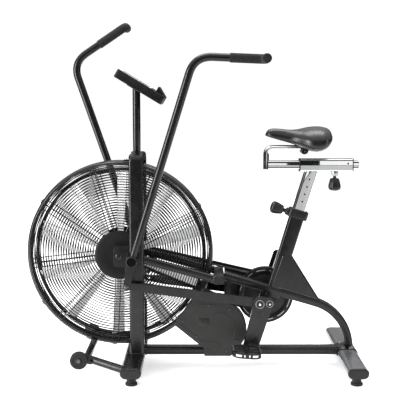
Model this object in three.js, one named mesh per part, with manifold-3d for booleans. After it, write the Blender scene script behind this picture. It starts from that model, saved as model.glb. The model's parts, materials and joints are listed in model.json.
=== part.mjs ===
// Air bike: a fan bike with a chain-driven fan, moving handles and an adjustable saddle.
// Millimetres. +Z up, front of the bike towards -X, the rider's right side towards -Y.
import * as THREE from 'three';
import { mergeVertices } from 'three/addons/utils/BufferGeometryUtils.js';
import Module from 'manifold-3d';

const wasm = await Module();
wasm.setup();

// ---------------------------------------------------------------- driving dimensions
const GAP = 0.3; // clearance left between touching pieces

const FAN = { x: -284, z: 450, axleRadius: 8, blades: 10, phase: 16, pitch: 40 };
const ROTOR = { hubRadius: 22, discRadius: 64, ring: 326, ringHalf: 6.5, ringY: 20 };
const BLADE_HALF = { root: 15, tip: 30 };
const GUARD = { radius: 363, halfWidth: 58, hubRadius: 95, ribs: 8, faceRadius: 345 };
const STABILIZER = { length: 582, depth: 78, height: 40, bottom: 33 };
const FRONT_X = -226;
const REAR_X = 604.5;
const FOOT = { y: 255, topRadius: 24, bottomRadius: 21 };
const BASE_TUBE = { width: 50, bottom: 44, top: 77 };
const UPRIGHT = { x: -214.5, depth: 56, inner: 74, outer: 110, top: 816 };
const BRIDGE_TOP = 842;
const MAST = { x: -217, radius: 15, top: 1073 };
const SIDE_STAY = { inner: 76, outer: 104, height: 30, frontZ: 438 };
const CROSS_TUBE = { x0: 81, x1: 121, z0: 343, z1: 375, halfLength: 104 };
const STAY = { half: 16, width: 50, startX: 121.3, startZ: 359.5, tilt: 16.46, bendRadius: 185, endX: 615 };
const SEAT = { x: 405, z: 595, tilt: 17, tubeDepth: 56, tubeWidth: 46, postDepth: 50, postWidth: 40 };
const SLIDER = { x0: 411, x1: 618, z: 794, height: 48, width: 44, bore: 34 };
const RAIL = { size: 33, front: 271, rear: 638, barTop: 870, barBottom: 849, barEnd: 413, upright: 24 };
const CRANK = { x: 287, z: 268, throwRadius: 35.5, throwAngle: 163, pedalRadius: 175, pedalAngle: -120 };
const CHAIN = { chainringRadius: 72.8, sprocketRadius: 24.3, chainringTeeth: 36, sprocketTeeth: 12 };
const TOOTH = { lift: 2.6, drop: 3, half: 2 };
const CHAIN_BAND = { y0: 62.5, y1: 71.5, inner: 3.4, outer: 9.4 };
const CHAIN_GUARD = { y0: 61, y1: 75, fanEnd: 38, crankEnd: 87, discRadius: 114, noseX: -178, wall: 2.5 };
const GUARD_WINDOW = { fanEnd: 20, crankEnd: 70, x0: -150, x1: 124 };
const ARM = { pivotX: -226.7, pivotZ: 446.6, y: 165, topY: 192, length: 789, bend: 75.2, grip: 256 };
const ARM_RADII = [86, 26];
const ARM_LEAN = { right: 17.2, left: -19.2 };
const LEVER = { radius: 105, bend: 4.5, inner: 135.3, outer: 153 };
const ROD = { inner: 118, outer: 134, half: 17, eye: 12, frontX: -249.8, frontZ: 344.2 };
const WHEEL = { x: -425.5, z: 77.5, radius: 33, inner: 194, outer: 216 };
const WHEEL_BAR = { footX: -240, footY: 250, footZ: 50, frontX: -400, frontY: 170, frontZ: 76, radius: 14.5 };
const SHAFT = { crank: 10, pin: 9, spindle: 7, wheel: 5, pivot: 15 };
const GUSSET = { low: 290, high: 432, tipX: 491, tipZ: 258, half: 19 };
const SLIDE_PIN = { x: 549, radius: 6, low: 693, high: 743 };
const PEDAL_DECK = { y: 230, length: 116, width: 108, corner: 34, half: 13 };
const KNOB = { radius: 25, stem: 8, start: 58, end: 110 };
const CONSOLE = { x: -199.7, z: 1092.4, tilt: 31, length: 206, thickness: 34, width: 180 };

const rad = THREE.MathUtils.degToRad;
const PIN = {
  x: CRANK.x + CRANK.throwRadius * Math.cos(rad(CRANK.throwAngle)),
  z: CRANK.z + CRANK.throwRadius * Math.sin(rad(CRANK.throwAngle)),
};
const PEDAL = {
  x: CRANK.x + CRANK.pedalRadius * Math.cos(rad(CRANK.pedalAngle)),
  z: CRANK.z + CRANK.pedalRadius * Math.sin(rad(CRANK.pedalAngle)),
};

// ---------------------------------------------------------------- materials
const paint = (color, roughness, metalness) => new THREE.MeshStandardMaterial({ color, roughness, metalness });
const BLACK = paint(0x1c1d1f, 0.42, 0.1);
const DARK_PLASTIC = paint(0x17181a, 0.55, 0);
const RUBBER = paint(0x101011, 0.85, 0);
const FOAM = paint(0x141415, 0.9, 0);
const CHROME = paint(0xc9ccd0, 0.22, 1);
const SILVER = paint(0x9a9da1, 0.35, 0.6);
const STEEL = paint(0x8b8e92, 0.35, 1);
const BLADE = paint(0xb8bbbe, 0.4, 0.8);
const LEATHER = paint(0x121214, 0.35, 0);
const GLASS = paint(0x2a2d2f, 0.1, 0);

const group = new THREE.Group();
function piece(name, geometry, material) {
  const mesh = new THREE.Mesh(geometry, material);
  mesh.name = name;
  group.add(mesh);
  return mesh;
}

// ---------------------------------------------------------------- solids
function toSolid(geometry) {
  const bare = geometry.clone();
  bare.deleteAttribute('normal');
  bare.deleteAttribute('uv');
  const merged = mergeVertices(bare, 1e-4);
  return new wasm.Manifold(new wasm.Mesh({
    numProp: 3,
    vertProperties: new Float32Array(merged.attributes.position.array),
    triVerts: new Uint32Array(merged.index.array),
  }));
}

function toGeometry(solid) {
  const mesh = solid.getMesh();
  const geometry = new THREE.BufferGeometry();
  geometry.setAttribute('position', new THREE.BufferAttribute(mesh.vertProperties, 3));
  geometry.setIndex(new THREE.BufferAttribute(mesh.triVerts, 1));
  geometry.computeVertexNormals();
  return geometry;
}

const join = (...geometries) => toGeometry(geometries.map(toSolid).reduce((a, b) => a.add(b)));
const cut = (body, ...tools) => toGeometry(tools.map(toSolid).reduce((a, b) => a.subtract(b), toSolid(body)));
const overlap = (a, b) => toGeometry(toSolid(a).intersect(toSolid(b)));

function box(x0, x1, y0, y1, z0, z1) {
  const geometry = new THREE.BoxGeometry(x1 - x0, y1 - y0, z1 - z0);
  return geometry.translate((x0 + x1) / 2, (y0 + y1) / 2, (z0 + z1) / 2);
}

function cylinderY(radius, x, z, y0, y1, sides = 24) {
  const geometry = new THREE.CylinderGeometry(radius, radius, y1 - y0, sides);
  return geometry.translate(x, (y0 + y1) / 2, z);
}

function cylinderZ(radius, x, y, z0, z1, sides = 24) {
  const geometry = new THREE.CylinderGeometry(radius, radius, z1 - z0, sides).rotateX(Math.PI / 2);
  return geometry.translate(x, y, (z0 + z1) / 2);
}

// A side outline in X and Z, extruded across the bike.
function extrudeY(shape, y0, y1, curveSegments = 6) {
  const geometry = new THREE.ExtrudeGeometry(shape, { depth: y1 - y0, bevelEnabled: false, curveSegments });
  return geometry.rotateX(Math.PI / 2).translate(0, y1, 0);
}

// A plan outline in X and Y, extruded upwards.
function extrudeZ(shape, z0, z1, curveSegments = 6) {
  const geometry = new THREE.ExtrudeGeometry(shape, { depth: z1 - z0, bevelEnabled: false, curveSegments });
  return geometry.translate(0, 0, z0);
}

// A front outline in Y and Z, extruded along the bike.
function extrudeX(shape, x0, x1, curveSegments = 6) {
  const geometry = new THREE.ExtrudeGeometry(shape, { depth: x1 - x0, bevelEnabled: false, curveSegments });
  const axes = new THREE.Matrix4().makeBasis(
    new THREE.Vector3(0, 1, 0), new THREE.Vector3(0, 0, 1), new THREE.Vector3(1, 0, 0));
  return geometry.applyMatrix4(axes).translate(x0, 0, 0);
}

function roundedRect(cx, cy, width, height, radius) {
  const shape = new THREE.Shape();
  const right = width / 2 - radius;
  const top = height / 2 - radius;
  shape.absarc(cx + right, cy + top, radius, 0, Math.PI / 2);
  shape.absarc(cx - right, cy + top, radius, Math.PI / 2, Math.PI);
  shape.absarc(cx - right, cy - top, radius, Math.PI, 1.5 * Math.PI);
  shape.absarc(cx + right, cy - top, radius, 1.5 * Math.PI, 2 * Math.PI);
  return shape;
}

function polygon(points) {
  return new THREE.Shape(points.map(([x, y]) => new THREE.Vector2(x, y)));
}

// The outline of a belt around two circles of radii ra and rb.
function beltShape(ax, ay, ra, bx, by, rb) {
  const along = Math.atan2(by - ay, bx - ax);
  const spread = Math.acos((ra - rb) / Math.hypot(bx - ax, by - ay));
  const shape = new THREE.Shape();
  shape.absarc(bx, by, rb, along - spread, along + spread);
  shape.absarc(ax, ay, ra, along + spread, along - spread + 2 * Math.PI);
  return shape;
}

function ringShape(radius, hole) {
  const shape = new THREE.Shape().absarc(0, 0, radius, 0, 2 * Math.PI);
  shape.holes.push(new THREE.Path().absarc(0, 0, hole, 0, 2 * Math.PI, true));
  return shape;
}

// A ring about a lateral axis through (x, z).
function ringY(radius, hole, x, z, y0, y1, curveSegments = 12) {
  return extrudeY(ringShape(radius, hole), y0, y1, curveSegments).translate(x, 0, z);
}

// A curve sampled only at its own points, so that a straight stretch stays one facet long.
class StepCurve extends THREE.Curve {
  constructor(points) {
    super();
    this.points = points;
    this.steps = points.length - 1;
  }

  getPoint(t) {
    const at = Math.min(t * this.steps, this.steps);
    const i = Math.min(Math.floor(at), this.steps - 1);
    return this.points[i].clone().lerp(this.points[i + 1], at - i);
  }

  getPointAt(t) {
    return this.getPoint(t);
  }

  getTangentAt(t) {
    const i = Math.round(t * this.steps);
    const tangent = new THREE.Vector3();
    for (const j of [i - 1, i]) {
      if (j >= 0 && j < this.steps) {
        tangent.add(this.points[j + 1].clone().sub(this.points[j]).normalize());
      }
    }
    return tangent.normalize();
  }
}

// A polyline with its inner corners rounded to the given radii.
function filletPath(corners, radii, facets = 7) {
  const points = [corners[0]];
  for (let i = 1; i < corners.length - 1; i += 1) {
    const back = corners[i - 1].clone().sub(corners[i]).normalize();
    const ahead = corners[i + 1].clone().sub(corners[i]).normalize();
    const trim = radii[i - 1] / Math.tan(back.angleTo(ahead) / 2);
    const bend = new THREE.QuadraticBezierCurve3(corners[i].clone().addScaledVector(back, trim),
      corners[i].clone(), corners[i].clone().addScaledVector(ahead, trim));
    points.push(...bend.getPoints(facets));
  }
  points.push(corners[corners.length - 1]);
  return new StepCurve(points);
}

function sweep(path, radius, sides = 6) {
  const section = new THREE.Shape();
  section.absarc(0, 0, radius, 0, 2 * Math.PI);
  return new THREE.ExtrudeGeometry(section, {
    extrudePath: path, steps: path.steps, curveSegments: sides, bevelEnabled: false });
}

const mirrorY = (geometry) => {
  const flipped = geometry.clone().scale(1, -1, 1);
  const index = flipped.index;
  for (let i = 0; i < index.count; i += 3) {
    const keep = index.getX(i);
    index.setX(i, index.getX(i + 1));
    index.setX(i + 1, keep);
  }
  flipped.computeVertexNormals();
  return flipped;
};
const indexed = (geometry) => toGeometry(toSolid(geometry));

// ---------------------------------------------------------------- stabilizers, caps and feet
const stabilizerZ = STABILIZER.bottom + STABILIZER.height / 2;
const stabilizerSection = (x, grow) => roundedRect(
  x, stabilizerZ, STABILIZER.depth + 2 * grow, STABILIZER.height + 2 * grow, STABILIZER.height / 2 + grow - 0.01);
const stabilizerBar = (x, grow, halfLength) => extrudeY(stabilizerSection(x, grow), -halfLength, halfLength);

function stabilizer(end, x, material) {
  const half = STABILIZER.length / 2;
  piece(`${end}_stabilizer`, stabilizerBar(x, 0, half), material);
  for (const [side, sign] of [['right', -1], ['left', 1]]) {
    const shape = stabilizerSection(x, 0);
    const cap = sign < 0 ? extrudeY(shape, -half - 5.5, -half - GAP) : extrudeY(shape, half + GAP, half + 5.5);
    piece(`${end}_${side}_cap`, cap, DARK_PLASTIC);
    const foot = new THREE.CylinderGeometry(FOOT.topRadius, FOOT.bottomRadius, STABILIZER.bottom - GAP, 24);
    foot.rotateX(Math.PI / 2);
    const mesh = piece(`${end}_${side}_foot`, foot, RUBBER);
    mesh.position.set(x, sign * FOOT.y, (STABILIZER.bottom - GAP) / 2);
  }
}
stabilizer('front', FRONT_X, BLACK);
stabilizer('rear', REAR_X, SILVER);

const frontClear = stabilizerBar(FRONT_X, GAP, STABILIZER.length);
const rearClear = stabilizerBar(REAR_X, GAP, STABILIZER.length);

const baseBlank = extrudeX(
  roundedRect(0, (BASE_TUBE.bottom + BASE_TUBE.top) / 2, BASE_TUBE.width, BASE_TUBE.top - BASE_TUBE.bottom, 6),
  FRONT_X + 30, REAR_X - 30, 3);
piece('base_tube', cut(baseBlank, frontClear, rearClear), BLACK);

// ---------------------------------------------------------------- fork around the fan
const axlePlateShape = roundedRect(FAN.x + 20, FAN.z, 78, 82, 16);
function upright() {
  const middle = (UPRIGHT.inner + UPRIGHT.outer) / 2;
  const tube = extrudeZ(
    roundedRect(UPRIGHT.x, -middle, UPRIGHT.depth, UPRIGHT.outer - UPRIGHT.inner, 8), 60, UPRIGHT.top, 3);
  const plate = extrudeY(axlePlateShape, -92, -84, 4);
  const axleHole = cylinderY(FAN.axleRadius + GAP, FAN.x, FAN.z, -100, -80, 20);
  return cut(join(tube, plate), axleHole, frontClear);
}
const rightUpright = upright();
piece('right_upright', rightUpright, BLACK);
piece('left_upright', mirrorY(rightUpright), BLACK);

function bridgeShape() {
  const shape = new THREE.Shape();
  const corner = 24;
  shape.moveTo(-UPRIGHT.outer, UPRIGHT.top + GAP);
  shape.lineTo(UPRIGHT.outer, UPRIGHT.top + GAP);
  shape.absarc(UPRIGHT.outer - corner, BRIDGE_TOP - corner, corner, 0, Math.PI / 2);
  shape.absarc(-UPRIGHT.outer + corner, BRIDGE_TOP - corner, corner, Math.PI / 2, Math.PI);
  return shape;
}
const bridgeHalf = UPRIGHT.depth / 2;
piece('top_bridge', extrudeX(bridgeShape(), UPRIGHT.x - bridgeHalf, UPRIGHT.x + bridgeHalf), BLACK);
piece('mast', cylinderZ(MAST.radius, MAST.x, 0, BRIDGE_TOP + GAP, MAST.top), BLACK);

function pivotStub(sign) {
  const flange = cylinderY(26, ARM.pivotX, ARM.pivotZ, UPRIGHT.outer + GAP, UPRIGHT.outer + 6);
  const shaft = cylinderY(SHAFT.pivot, ARM.pivotX, ARM.pivotZ, UPRIGHT.outer + 3, ARM.topY);
  const stub = join(flange, shaft);
  return sign < 0 ? mirrorY(stub) : stub;
}
piece('right_pivot_stub', pivotStub(-1), STEEL);
piece('left_pivot_stub', pivotStub(1), STEEL);

// ---------------------------------------------------------------- side stays, cross tube and main stay
const sideStayX0 = UPRIGHT.x + UPRIGHT.depth / 2 + GAP;
const sideStayX1 = CROSS_TUBE.x0 - GAP;
const crossMiddleZ = (CROSS_TUBE.z0 + CROSS_TUBE.z1) / 2;
const sideStayHalf = SIDE_STAY.height / 2;
const sideStayShape = polygon([
  [sideStayX0, SIDE_STAY.frontZ - sideStayHalf], [sideStayX1, crossMiddleZ + 4 - sideStayHalf],
  [sideStayX1, crossMiddleZ + 4 + sideStayHalf], [sideStayX0, SIDE_STAY.frontZ + sideStayHalf]]);
piece('right_side_stay', extrudeY(sideStayShape, -SIDE_STAY.outer, -SIDE_STAY.inner), BLACK);
piece('left_side_stay', extrudeY(sideStayShape, SIDE_STAY.inner, SIDE_STAY.outer), BLACK);

const crossShape = roundedRect((CROSS_TUBE.x0 + CROSS_TUBE.x1) / 2, crossMiddleZ,
  CROSS_TUBE.x1 - CROSS_TUBE.x0, CROSS_TUBE.z1 - CROSS_TUBE.z0, 5);
piece('cross_tube', extrudeY(crossShape, -CROSS_TUBE.halfLength, CROSS_TUBE.halfLength, 3), BLACK);

// Centre of the main stay's bend, found from its two straight stretches.
const staySlope = Math.tan(rad(STAY.tilt));
const bendCentre = new THREE.Vector2(428.4, 75.9);
const bendEnd = bendCentre.clone().add(
  new THREE.Vector2(STAY.bendRadius * Math.cos(rad(7)), STAY.bendRadius * Math.sin(rad(7))));
const stayTop = (x) => STAY.startZ - staySlope * (x - STAY.startX) + STAY.half / Math.cos(rad(STAY.tilt));

function stayShape(grow) {
  const half = STAY.half + grow;
  const shape = new THREE.Shape();
  const normal = new THREE.Vector2(Math.sin(rad(STAY.tilt)), Math.cos(rad(STAY.tilt)));
  const startAngle = Math.PI / 2 - rad(STAY.tilt);
  const endAngle = Math.atan2(bendEnd.y - bendCentre.y, bendEnd.x - bendCentre.x);
  shape.moveTo(STAY.startX + GAP, STAY.startZ - half / normal.y);
  shape.absarc(bendCentre.x, bendCentre.y, STAY.bendRadius - half, startAngle, endAngle, true);
  shape.lineTo(STAY.endX - half, 60);
  shape.lineTo(STAY.endX + half, 60);
  shape.absarc(bendCentre.x, bendCentre.y, STAY.bendRadius + half, endAngle, startAngle, false);
  shape.lineTo(STAY.startX + GAP, STAY.startZ + half / normal.y);
  return shape;
}

function mainStay() {
  const tube = extrudeY(stayShape(0), -STAY.width / 2, STAY.width / 2, 14);
  const saddle = stabilizerBar(REAR_X, 3.5, 46);
  const lowerHalf = box(REAR_X - 60, REAR_X + 60, -60, 60, 0, stabilizerZ - 6);
  const baseHalf = BASE_TUBE.width / 2 + GAP;
  const baseRoom = box(REAR_X - 80, REAR_X, -baseHalf, baseHalf, 0, BASE_TUBE.top + GAP);
  return cut(join(tube, saddle), lowerHalf, baseRoom, rearClear);
}
piece('main_stay', mainStay(), BLACK);

function bottomBracket() {
  const shell = cylinderY(21, CRANK.x, CRANK.z, -36, 36);
  const lug = box(CRANK.x - 15, CRANK.x + 15, -20, 20, CRANK.z, CRANK.z + 40);
  const clear = extrudeY(stayShape(GAP), -30, 30, 14);
  const bore = cylinderY(SHAFT.crank + GAP, CRANK.x, CRANK.z, -40, 40);
  return cut(join(shell, lug), clear, bore);
}
piece('bottom_bracket', bottomBracket(), BLACK);

// ---------------------------------------------------------------- seat tube, collar and post
// Local frame: Z up the tilted seat axis, X across it towards the rear.
const seatFrame = new THREE.Matrix4()
  .makeRotationY(rad(SEAT.tilt))
  .setPosition(SEAT.x, 0, SEAT.z);
const onSeatAxis = (geometry) => geometry.applyMatrix4(seatFrame);
const seatSection = (depth, width, radius, z0, z1) => extrudeZ(
  roundedRect(0, 0, depth, width, radius), z0, z1, 3);

function seatTube() {
  const outer = onSeatAxis(seatSection(SEAT.tubeDepth, SEAT.tubeWidth, 6, -340, 18));
  const inner = onSeatAxis(seatSection(SEAT.postDepth + 0.8, SEAT.postWidth + 0.8, 4, -345, 30));
  const rearX = (z) => SEAT.x + (z - SEAT.z) * Math.tan(rad(SEAT.tilt))
    + SEAT.tubeDepth / 2 / Math.cos(rad(SEAT.tilt));
  const { low, high, tipX, tipZ, half } = GUSSET;
  const gusset = extrudeY(polygon([[rearX(low) - 2, low], [tipX, tipZ], [rearX(high) - 2, high]]), -half, half);
  const under = polygon([
    [200, 0], [700, 0], [700, stayTop(700) + GAP], [200, stayTop(200) + GAP]]);
  return cut(join(outer, gusset), inner, extrudeY(under, -60, 60));
}
piece('seat_tube', seatTube(), BLACK);

const knobHeight = 6; // where the height knob sits along the seat axis
function alongKnob(radius, from, to, sides = 24) {
  const geometry = new THREE.CylinderGeometry(radius, radius, to - from, sides).rotateZ(Math.PI / 2);
  return onSeatAxis(geometry.translate(-(from + to) / 2, 0, knobHeight));
}

function seatCollar() {
  const sleeve = cut(onSeatAxis(seatSection(78, 62, 14, -9, 26)),
    onSeatAxis(seatSection(SEAT.tubeDepth + 2 * GAP, SEAT.tubeWidth + 2 * GAP, 6, -15, 18 + GAP)),
    onSeatAxis(seatSection(SEAT.postDepth + 0.8, SEAT.postWidth + 0.8, 4, 10, 30)));
  return cut(join(sleeve, alongKnob(13, 33, 49)), alongKnob(KNOB.stem + GAP, 20, 60));
}
piece('seat_collar', seatCollar(), DARK_PLASTIC);
piece('height_knob', join(alongKnob(KNOB.stem, SEAT.tubeDepth / 2 + GAP, KNOB.start + 4),
  alongKnob(KNOB.radius, KNOB.start, KNOB.end)), DARK_PLASTIC);

function sliderTube() {
  const half = SLIDER.height / 2;
  const outer = extrudeX(roundedRect(0, SLIDER.z, SLIDER.width, SLIDER.height, 5), SLIDER.x0, SLIDER.x1, 3);
  const bore = extrudeX(
    roundedRect(0, SLIDER.z, SLIDER.bore, SLIDER.bore, 0.6), SLIDER.x0 - 5, SLIDER.x1 + 5, 3);
  const postTop = SLIDER.z - half + 3;
  const post = cut(onSeatAxis(seatSection(SEAT.postDepth, SEAT.postWidth, 4, -160, 230)),
    box(380, 600, -50, 50, postTop, 1000));
  const boss = cylinderZ(13, SLIDE_PIN.x, 0, SLIDER.z - half - 14, SLIDER.z - half + 4);
  const pinHole = cylinderZ(SLIDE_PIN.radius + GAP, SLIDE_PIN.x, 0, 700, SLIDER.z - 10);
  return cut(join(outer, post, boss), bore, pinHole);
}
piece('seat_post', sliderTube(), CHROME);

const slideKnobTop = SLIDER.z - RAIL.size / 2 - 1;
piece('slide_knob', join(
  cylinderZ(SLIDE_PIN.radius, SLIDE_PIN.x, 0, SLIDE_PIN.high - 3, slideKnobTop),
  cylinderZ(KNOB.radius, SLIDE_PIN.x, 0, SLIDE_PIN.low, SLIDE_PIN.high)), DARK_PLASTIC);

function railShape() {
  const shape = new THREE.Shape();
  const low = SLIDER.z - RAIL.size / 2;
  const high = SLIDER.z + RAIL.size / 2;
  const outer = 22;
  const inner = 6;
  const innerX = RAIL.front + RAIL.upright;
  shape.moveTo(RAIL.rear, low);
  shape.lineTo(RAIL.rear, high);
  shape.absarc(innerX + inner, high + inner, inner, 1.5 * Math.PI, Math.PI, true);
  shape.absarc(innerX + inner, RAIL.barBottom - inner, inner, Math.PI, Math.PI / 2, true);
  shape.lineTo(RAIL.barEnd, RAIL.barBottom);
  shape.lineTo(RAIL.barEnd, RAIL.barTop);
  shape.absarc(RAIL.front + outer, RAIL.barTop - outer, outer, Math.PI / 2, Math.PI);
  shape.absarc(RAIL.front + 8, low + 8, 8, Math.PI, 1.5 * Math.PI);
  return shape;
}
piece('seat_rail', extrudeY(railShape(), -RAIL.size / 2, RAIL.size / 2), CHROME);

// ---------------------------------------------------------------- saddle
const saddleSide = new THREE.Shape();
saddleSide.moveTo(278, 906);
saddleSide.quadraticCurveTo(279, 933, 312, 935);
saddleSide.bezierCurveTo(350, 935, 380, 926, 415, 936);
saddleSide.bezierCurveTo(445, 947, 480, 946, 510, 940);
saddleSide.quadraticCurveTo(536, 930, 533, 898);
saddleSide.quadraticCurveTo(522, 856, 470, 843);
saddleSide.bezierCurveTo(440, 850, 420, 868, 381, 876);
saddleSide.quadraticCurveTo(330, 884, 278, 906);

function saddlePlan(scale) {
  const centre = 430;
  const at = (x) => centre + (x - centre) * scale;
  const wide = (y) => y * scale;
  const shape = new THREE.Shape();
  shape.moveTo(at(277), 0);
  shape.quadraticCurveTo(at(277), wide(-27), at(312), wide(-29));
  shape.bezierCurveTo(at(385), wide(-33), at(400), wide(-100), at(468), wide(-106));
  shape.bezierCurveTo(at(520), wide(-110), at(536), wide(-70), at(535), 0);
  shape.bezierCurveTo(at(536), wide(70), at(520), wide(110), at(468), wide(106));
  shape.bezierCurveTo(at(400), wide(100), at(385), wide(33), at(312), wide(29));
  shape.quadraticCurveTo(at(277), wide(27), at(277), 0);
  return shape;
}
const PAN = { bottom: 880, top: 887 };

function saddleCushion() {
  const blank = overlap(extrudeY(saddleSide, -115, 115, 8), extrudeZ(saddlePlan(1), 820, 960, 8));
  const hollow = extrudeZ(saddlePlan(0.74), 800, PAN.top + GAP, 8);
  const clampRoom = box(400, 452, -36, 36, 820, 884);
  return cut(blank, hollow, clampRoom);
}
piece('saddle_cushion', saddleCushion(), LEATHER);

function saddleBase() {
  const pan = extrudeZ(saddlePlan(0.7), PAN.bottom, PAN.top, 8);
  const post = cylinderZ(14, 429, 0, 858, PAN.bottom + 3);
  const clamp = cylinderY(14.5, 428.5, 858.5, -32, 32);
  return join(pan, post, clamp);
}
piece('saddle_base', saddleBase(), DARK_PLASTIC);

// ---------------------------------------------------------------- fan, axle and guards
piece('fan_axle', cylinderY(FAN.axleRadius, FAN.x, FAN.z, -106, 106), STEEL);

function fanRotor() {
  const { ring, ringHalf, ringY: ringMiddle } = ROTOR;
  const parts = [
    cylinderY(ROTOR.hubRadius, FAN.x, FAN.z, -48, 62),
    cylinderY(ROTOR.discRadius, FAN.x, FAN.z, -5, 5, 40),
    ringY(ring + ringHalf, ring - ringHalf, FAN.x, FAN.z, ringMiddle - ringHalf, ringMiddle + ringHalf, 20),
  ];
  const root = ROTOR.discRadius - 8;
  const tip = ring - ringHalf + 2;
  const outline = polygon([
    [root, -BLADE_HALF.root], [tip, -BLADE_HALF.tip], [tip, BLADE_HALF.tip], [root, BLADE_HALF.root]]);
  for (let i = 0; i < FAN.blades; i += 1) {
    const blade = extrudeZ(outline, -1, 1).rotateX(rad(FAN.pitch));
    parts.push(blade.rotateY(-rad(FAN.phase) - (2 * Math.PI * i) / FAN.blades).translate(FAN.x, 0, FAN.z));
  }
  return cut(join(...parts), cylinderY(FAN.axleRadius + GAP, FAN.x, FAN.z, -60, 70));
}
piece('fan_rotor', fanRotor(), BLADE);

function toothedShape(pitchRadius, teeth) {
  const points = [];
  for (let i = 0; i < teeth; i += 1) {
    const step = (2 * Math.PI) / teeth;
    for (const [offset, lift] of [
      [-0.32, -TOOTH.drop], [-0.1, TOOTH.lift], [0.1, TOOTH.lift], [0.32, -TOOTH.drop]]) {
      const angle = (i + offset) * step;
      points.push([(pitchRadius + lift) * Math.cos(angle), (pitchRadius + lift) * Math.sin(angle)]);
    }
  }
  return polygon(points);
}

function sprocket(pitchRadius, teeth, bore, x, z) {
  const middle = (CHAIN_BAND.y0 + CHAIN_BAND.y1) / 2;
  const shape = toothedShape(pitchRadius, teeth);
  const disc = extrudeY(shape, middle - TOOTH.half, middle + TOOTH.half).translate(x, 0, z);
  return cut(disc, cylinderY(bore, x, z, middle - 5, middle + 5));
}
piece('fan_sprocket', sprocket(
  CHAIN.sprocketRadius, CHAIN.sprocketTeeth, FAN.axleRadius + GAP, FAN.x, FAN.z), STEEL);

function guardHalf() {
  const face = -GUARD.halfWidth;
  const parts = [
    ringY(GUARD.hubRadius, 26, 0, 0, face, face + 3, 10),
    ringY(GUARD.radius, GUARD.radius - 8, 0, 0, face + 8, -0.5, 16),
    ringY(GUARD.radius - 6, GUARD.faceRadius - 7, 0, 0, face, face + 9, 16),
  ];
  for (const radius of [155, 215, 280]) {
    parts.push(ringY(radius + 3, radius - 3, 0, 0, face, face + 4, 10));
  }
  for (let i = 0; i < GUARD.ribs; i += 1) {
    const rib = box(GUARD.hubRadius - 4, GUARD.faceRadius + 2, face, face + 4, -3, 3);
    parts.push(rib.rotateY((2 * Math.PI * (i + 0.5)) / GUARD.ribs));
  }
  return join(...parts).translate(FAN.x, 0, FAN.z);
}
const rightGuard = guardHalf();
piece('right_guard', rightGuard, BLACK);
piece('left_guard', mirrorY(rightGuard), BLACK);

// ---------------------------------------------------------------- chain drive
const beltAround = (fanRadius, crankRadius) =>
  beltShape(FAN.x, FAN.z, fanRadius, CRANK.x, CRANK.z, crankRadius);
const chainLoop = (offset, y0, y1) => extrudeY(
  beltAround(CHAIN.sprocketRadius + offset, CHAIN.chainringRadius + offset), y0, y1, 16);
piece('chain', cut(
  chainLoop(CHAIN_BAND.outer, CHAIN_BAND.y0, CHAIN_BAND.y1),
  chainLoop(CHAIN_BAND.inner, CHAIN_BAND.y0 - 5, CHAIN_BAND.y1 + 5)), STEEL);

function chainGuard() {
  const { y0, y1, wall, discRadius, noseX, fanEnd, crankEnd } = CHAIN_GUARD;
  const shell = (inset, from, to) => join(
    extrudeY(beltAround(fanEnd - inset, crankEnd - inset), from, to, 16),
    cylinderY(discRadius - inset, CRANK.x, CRANK.z, from, to, 48));
  const opening = (grow, from, to) => overlap(
    extrudeY(beltAround(GUARD_WINDOW.fanEnd + grow, GUARD_WINDOW.crankEnd + grow), from, to, 16),
    box(GUARD_WINDOW.x0 - grow, GUARD_WINDOW.x1 + grow, 0, 200, 200, 600));
  const nose = box(-400, noseX, 0, 200, 200, 600);
  const axleRoom = cylinderY(22, CRANK.x, CRANK.z, y0 - 10, y1 + 10);
  const bracket = box(188, 206, STAY.width / 2 + GAP, y1 - 1, 340, 348);
  const walls = join(cut(shell(0, y0, y1), shell(wall, y0 - 5, y1 - wall)), opening(wall, y0, y1));
  return join(cut(walls, opening(0, y0 - 5, y1 + 5), nose, axleRoom), bracket);
}
piece('chain_guard', chainGuard(), DARK_PLASTIC);

// ---------------------------------------------------------------- right side cover
function sideCoverShape(inset) {
  const shape = new THREE.Shape();
  shape.moveTo(-67 + inset, 196);
  shape.lineTo(-67 + inset, 180.5 + inset * 0.3);
  shape.lineTo(43 + inset * 0.6, 91.3 + inset);
  shape.lineTo(44 + inset, 62 + inset);
  shape.lineTo(146, 62 + inset);
  shape.absarc(101, 170, 105 - inset, rad(-38), rad(62));
  shape.lineTo(110, 281 - inset);
  shape.lineTo(4, 288 - inset);
  return shape;
}

function sideCover() {
  const tray = cut(extrudeY(sideCoverShape(0), -97, -62, 10), extrudeY(sideCoverShape(3), -94, -50, 10));
  const posts = [70, 118].map((x) => box(x, x + 22, -95, -BASE_TUBE.width / 2 - GAP, 63, 69));
  const strap = join(box(128, 148, -95, -STAY.width / 2 - GAP, 262, 266),
    box(128, 148, -31, -STAY.width / 2 - GAP, 262, 346));
  return join(tray, ...posts, strap);
}
piece('side_cover', sideCover(), DARK_PLASTIC);

// ---------------------------------------------------------------- crank set
piece('crank_axle', cylinderY(SHAFT.crank, CRANK.x, CRANK.z, -94, 94), STEEL);
piece('chainring', sprocket(
  CHAIN.chainringRadius, CHAIN.chainringTeeth, SHAFT.crank + GAP, CRANK.x, CRANK.z), STEEL);

// Right-hand pieces in the X-Z plane; the left ones are turned half a turn about the axle.
const halfTurn = (geometry) => mirrorY(indexed(geometry.clone()
  .translate(-CRANK.x, 0, -CRANK.z).rotateY(Math.PI).translate(CRANK.x, 0, CRANK.z)));

function innerCrank() {
  const plate = extrudeY(beltShape(PIN.x, PIN.z, 15, CRANK.x, CRANK.z, 19), -92, -80);
  const pin = cylinderY(SHAFT.pin, PIN.x, PIN.z, -149, -85);
  return cut(join(plate, pin), cylinderY(SHAFT.crank + GAP, CRANK.x, CRANK.z, -100, -70));
}

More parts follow.
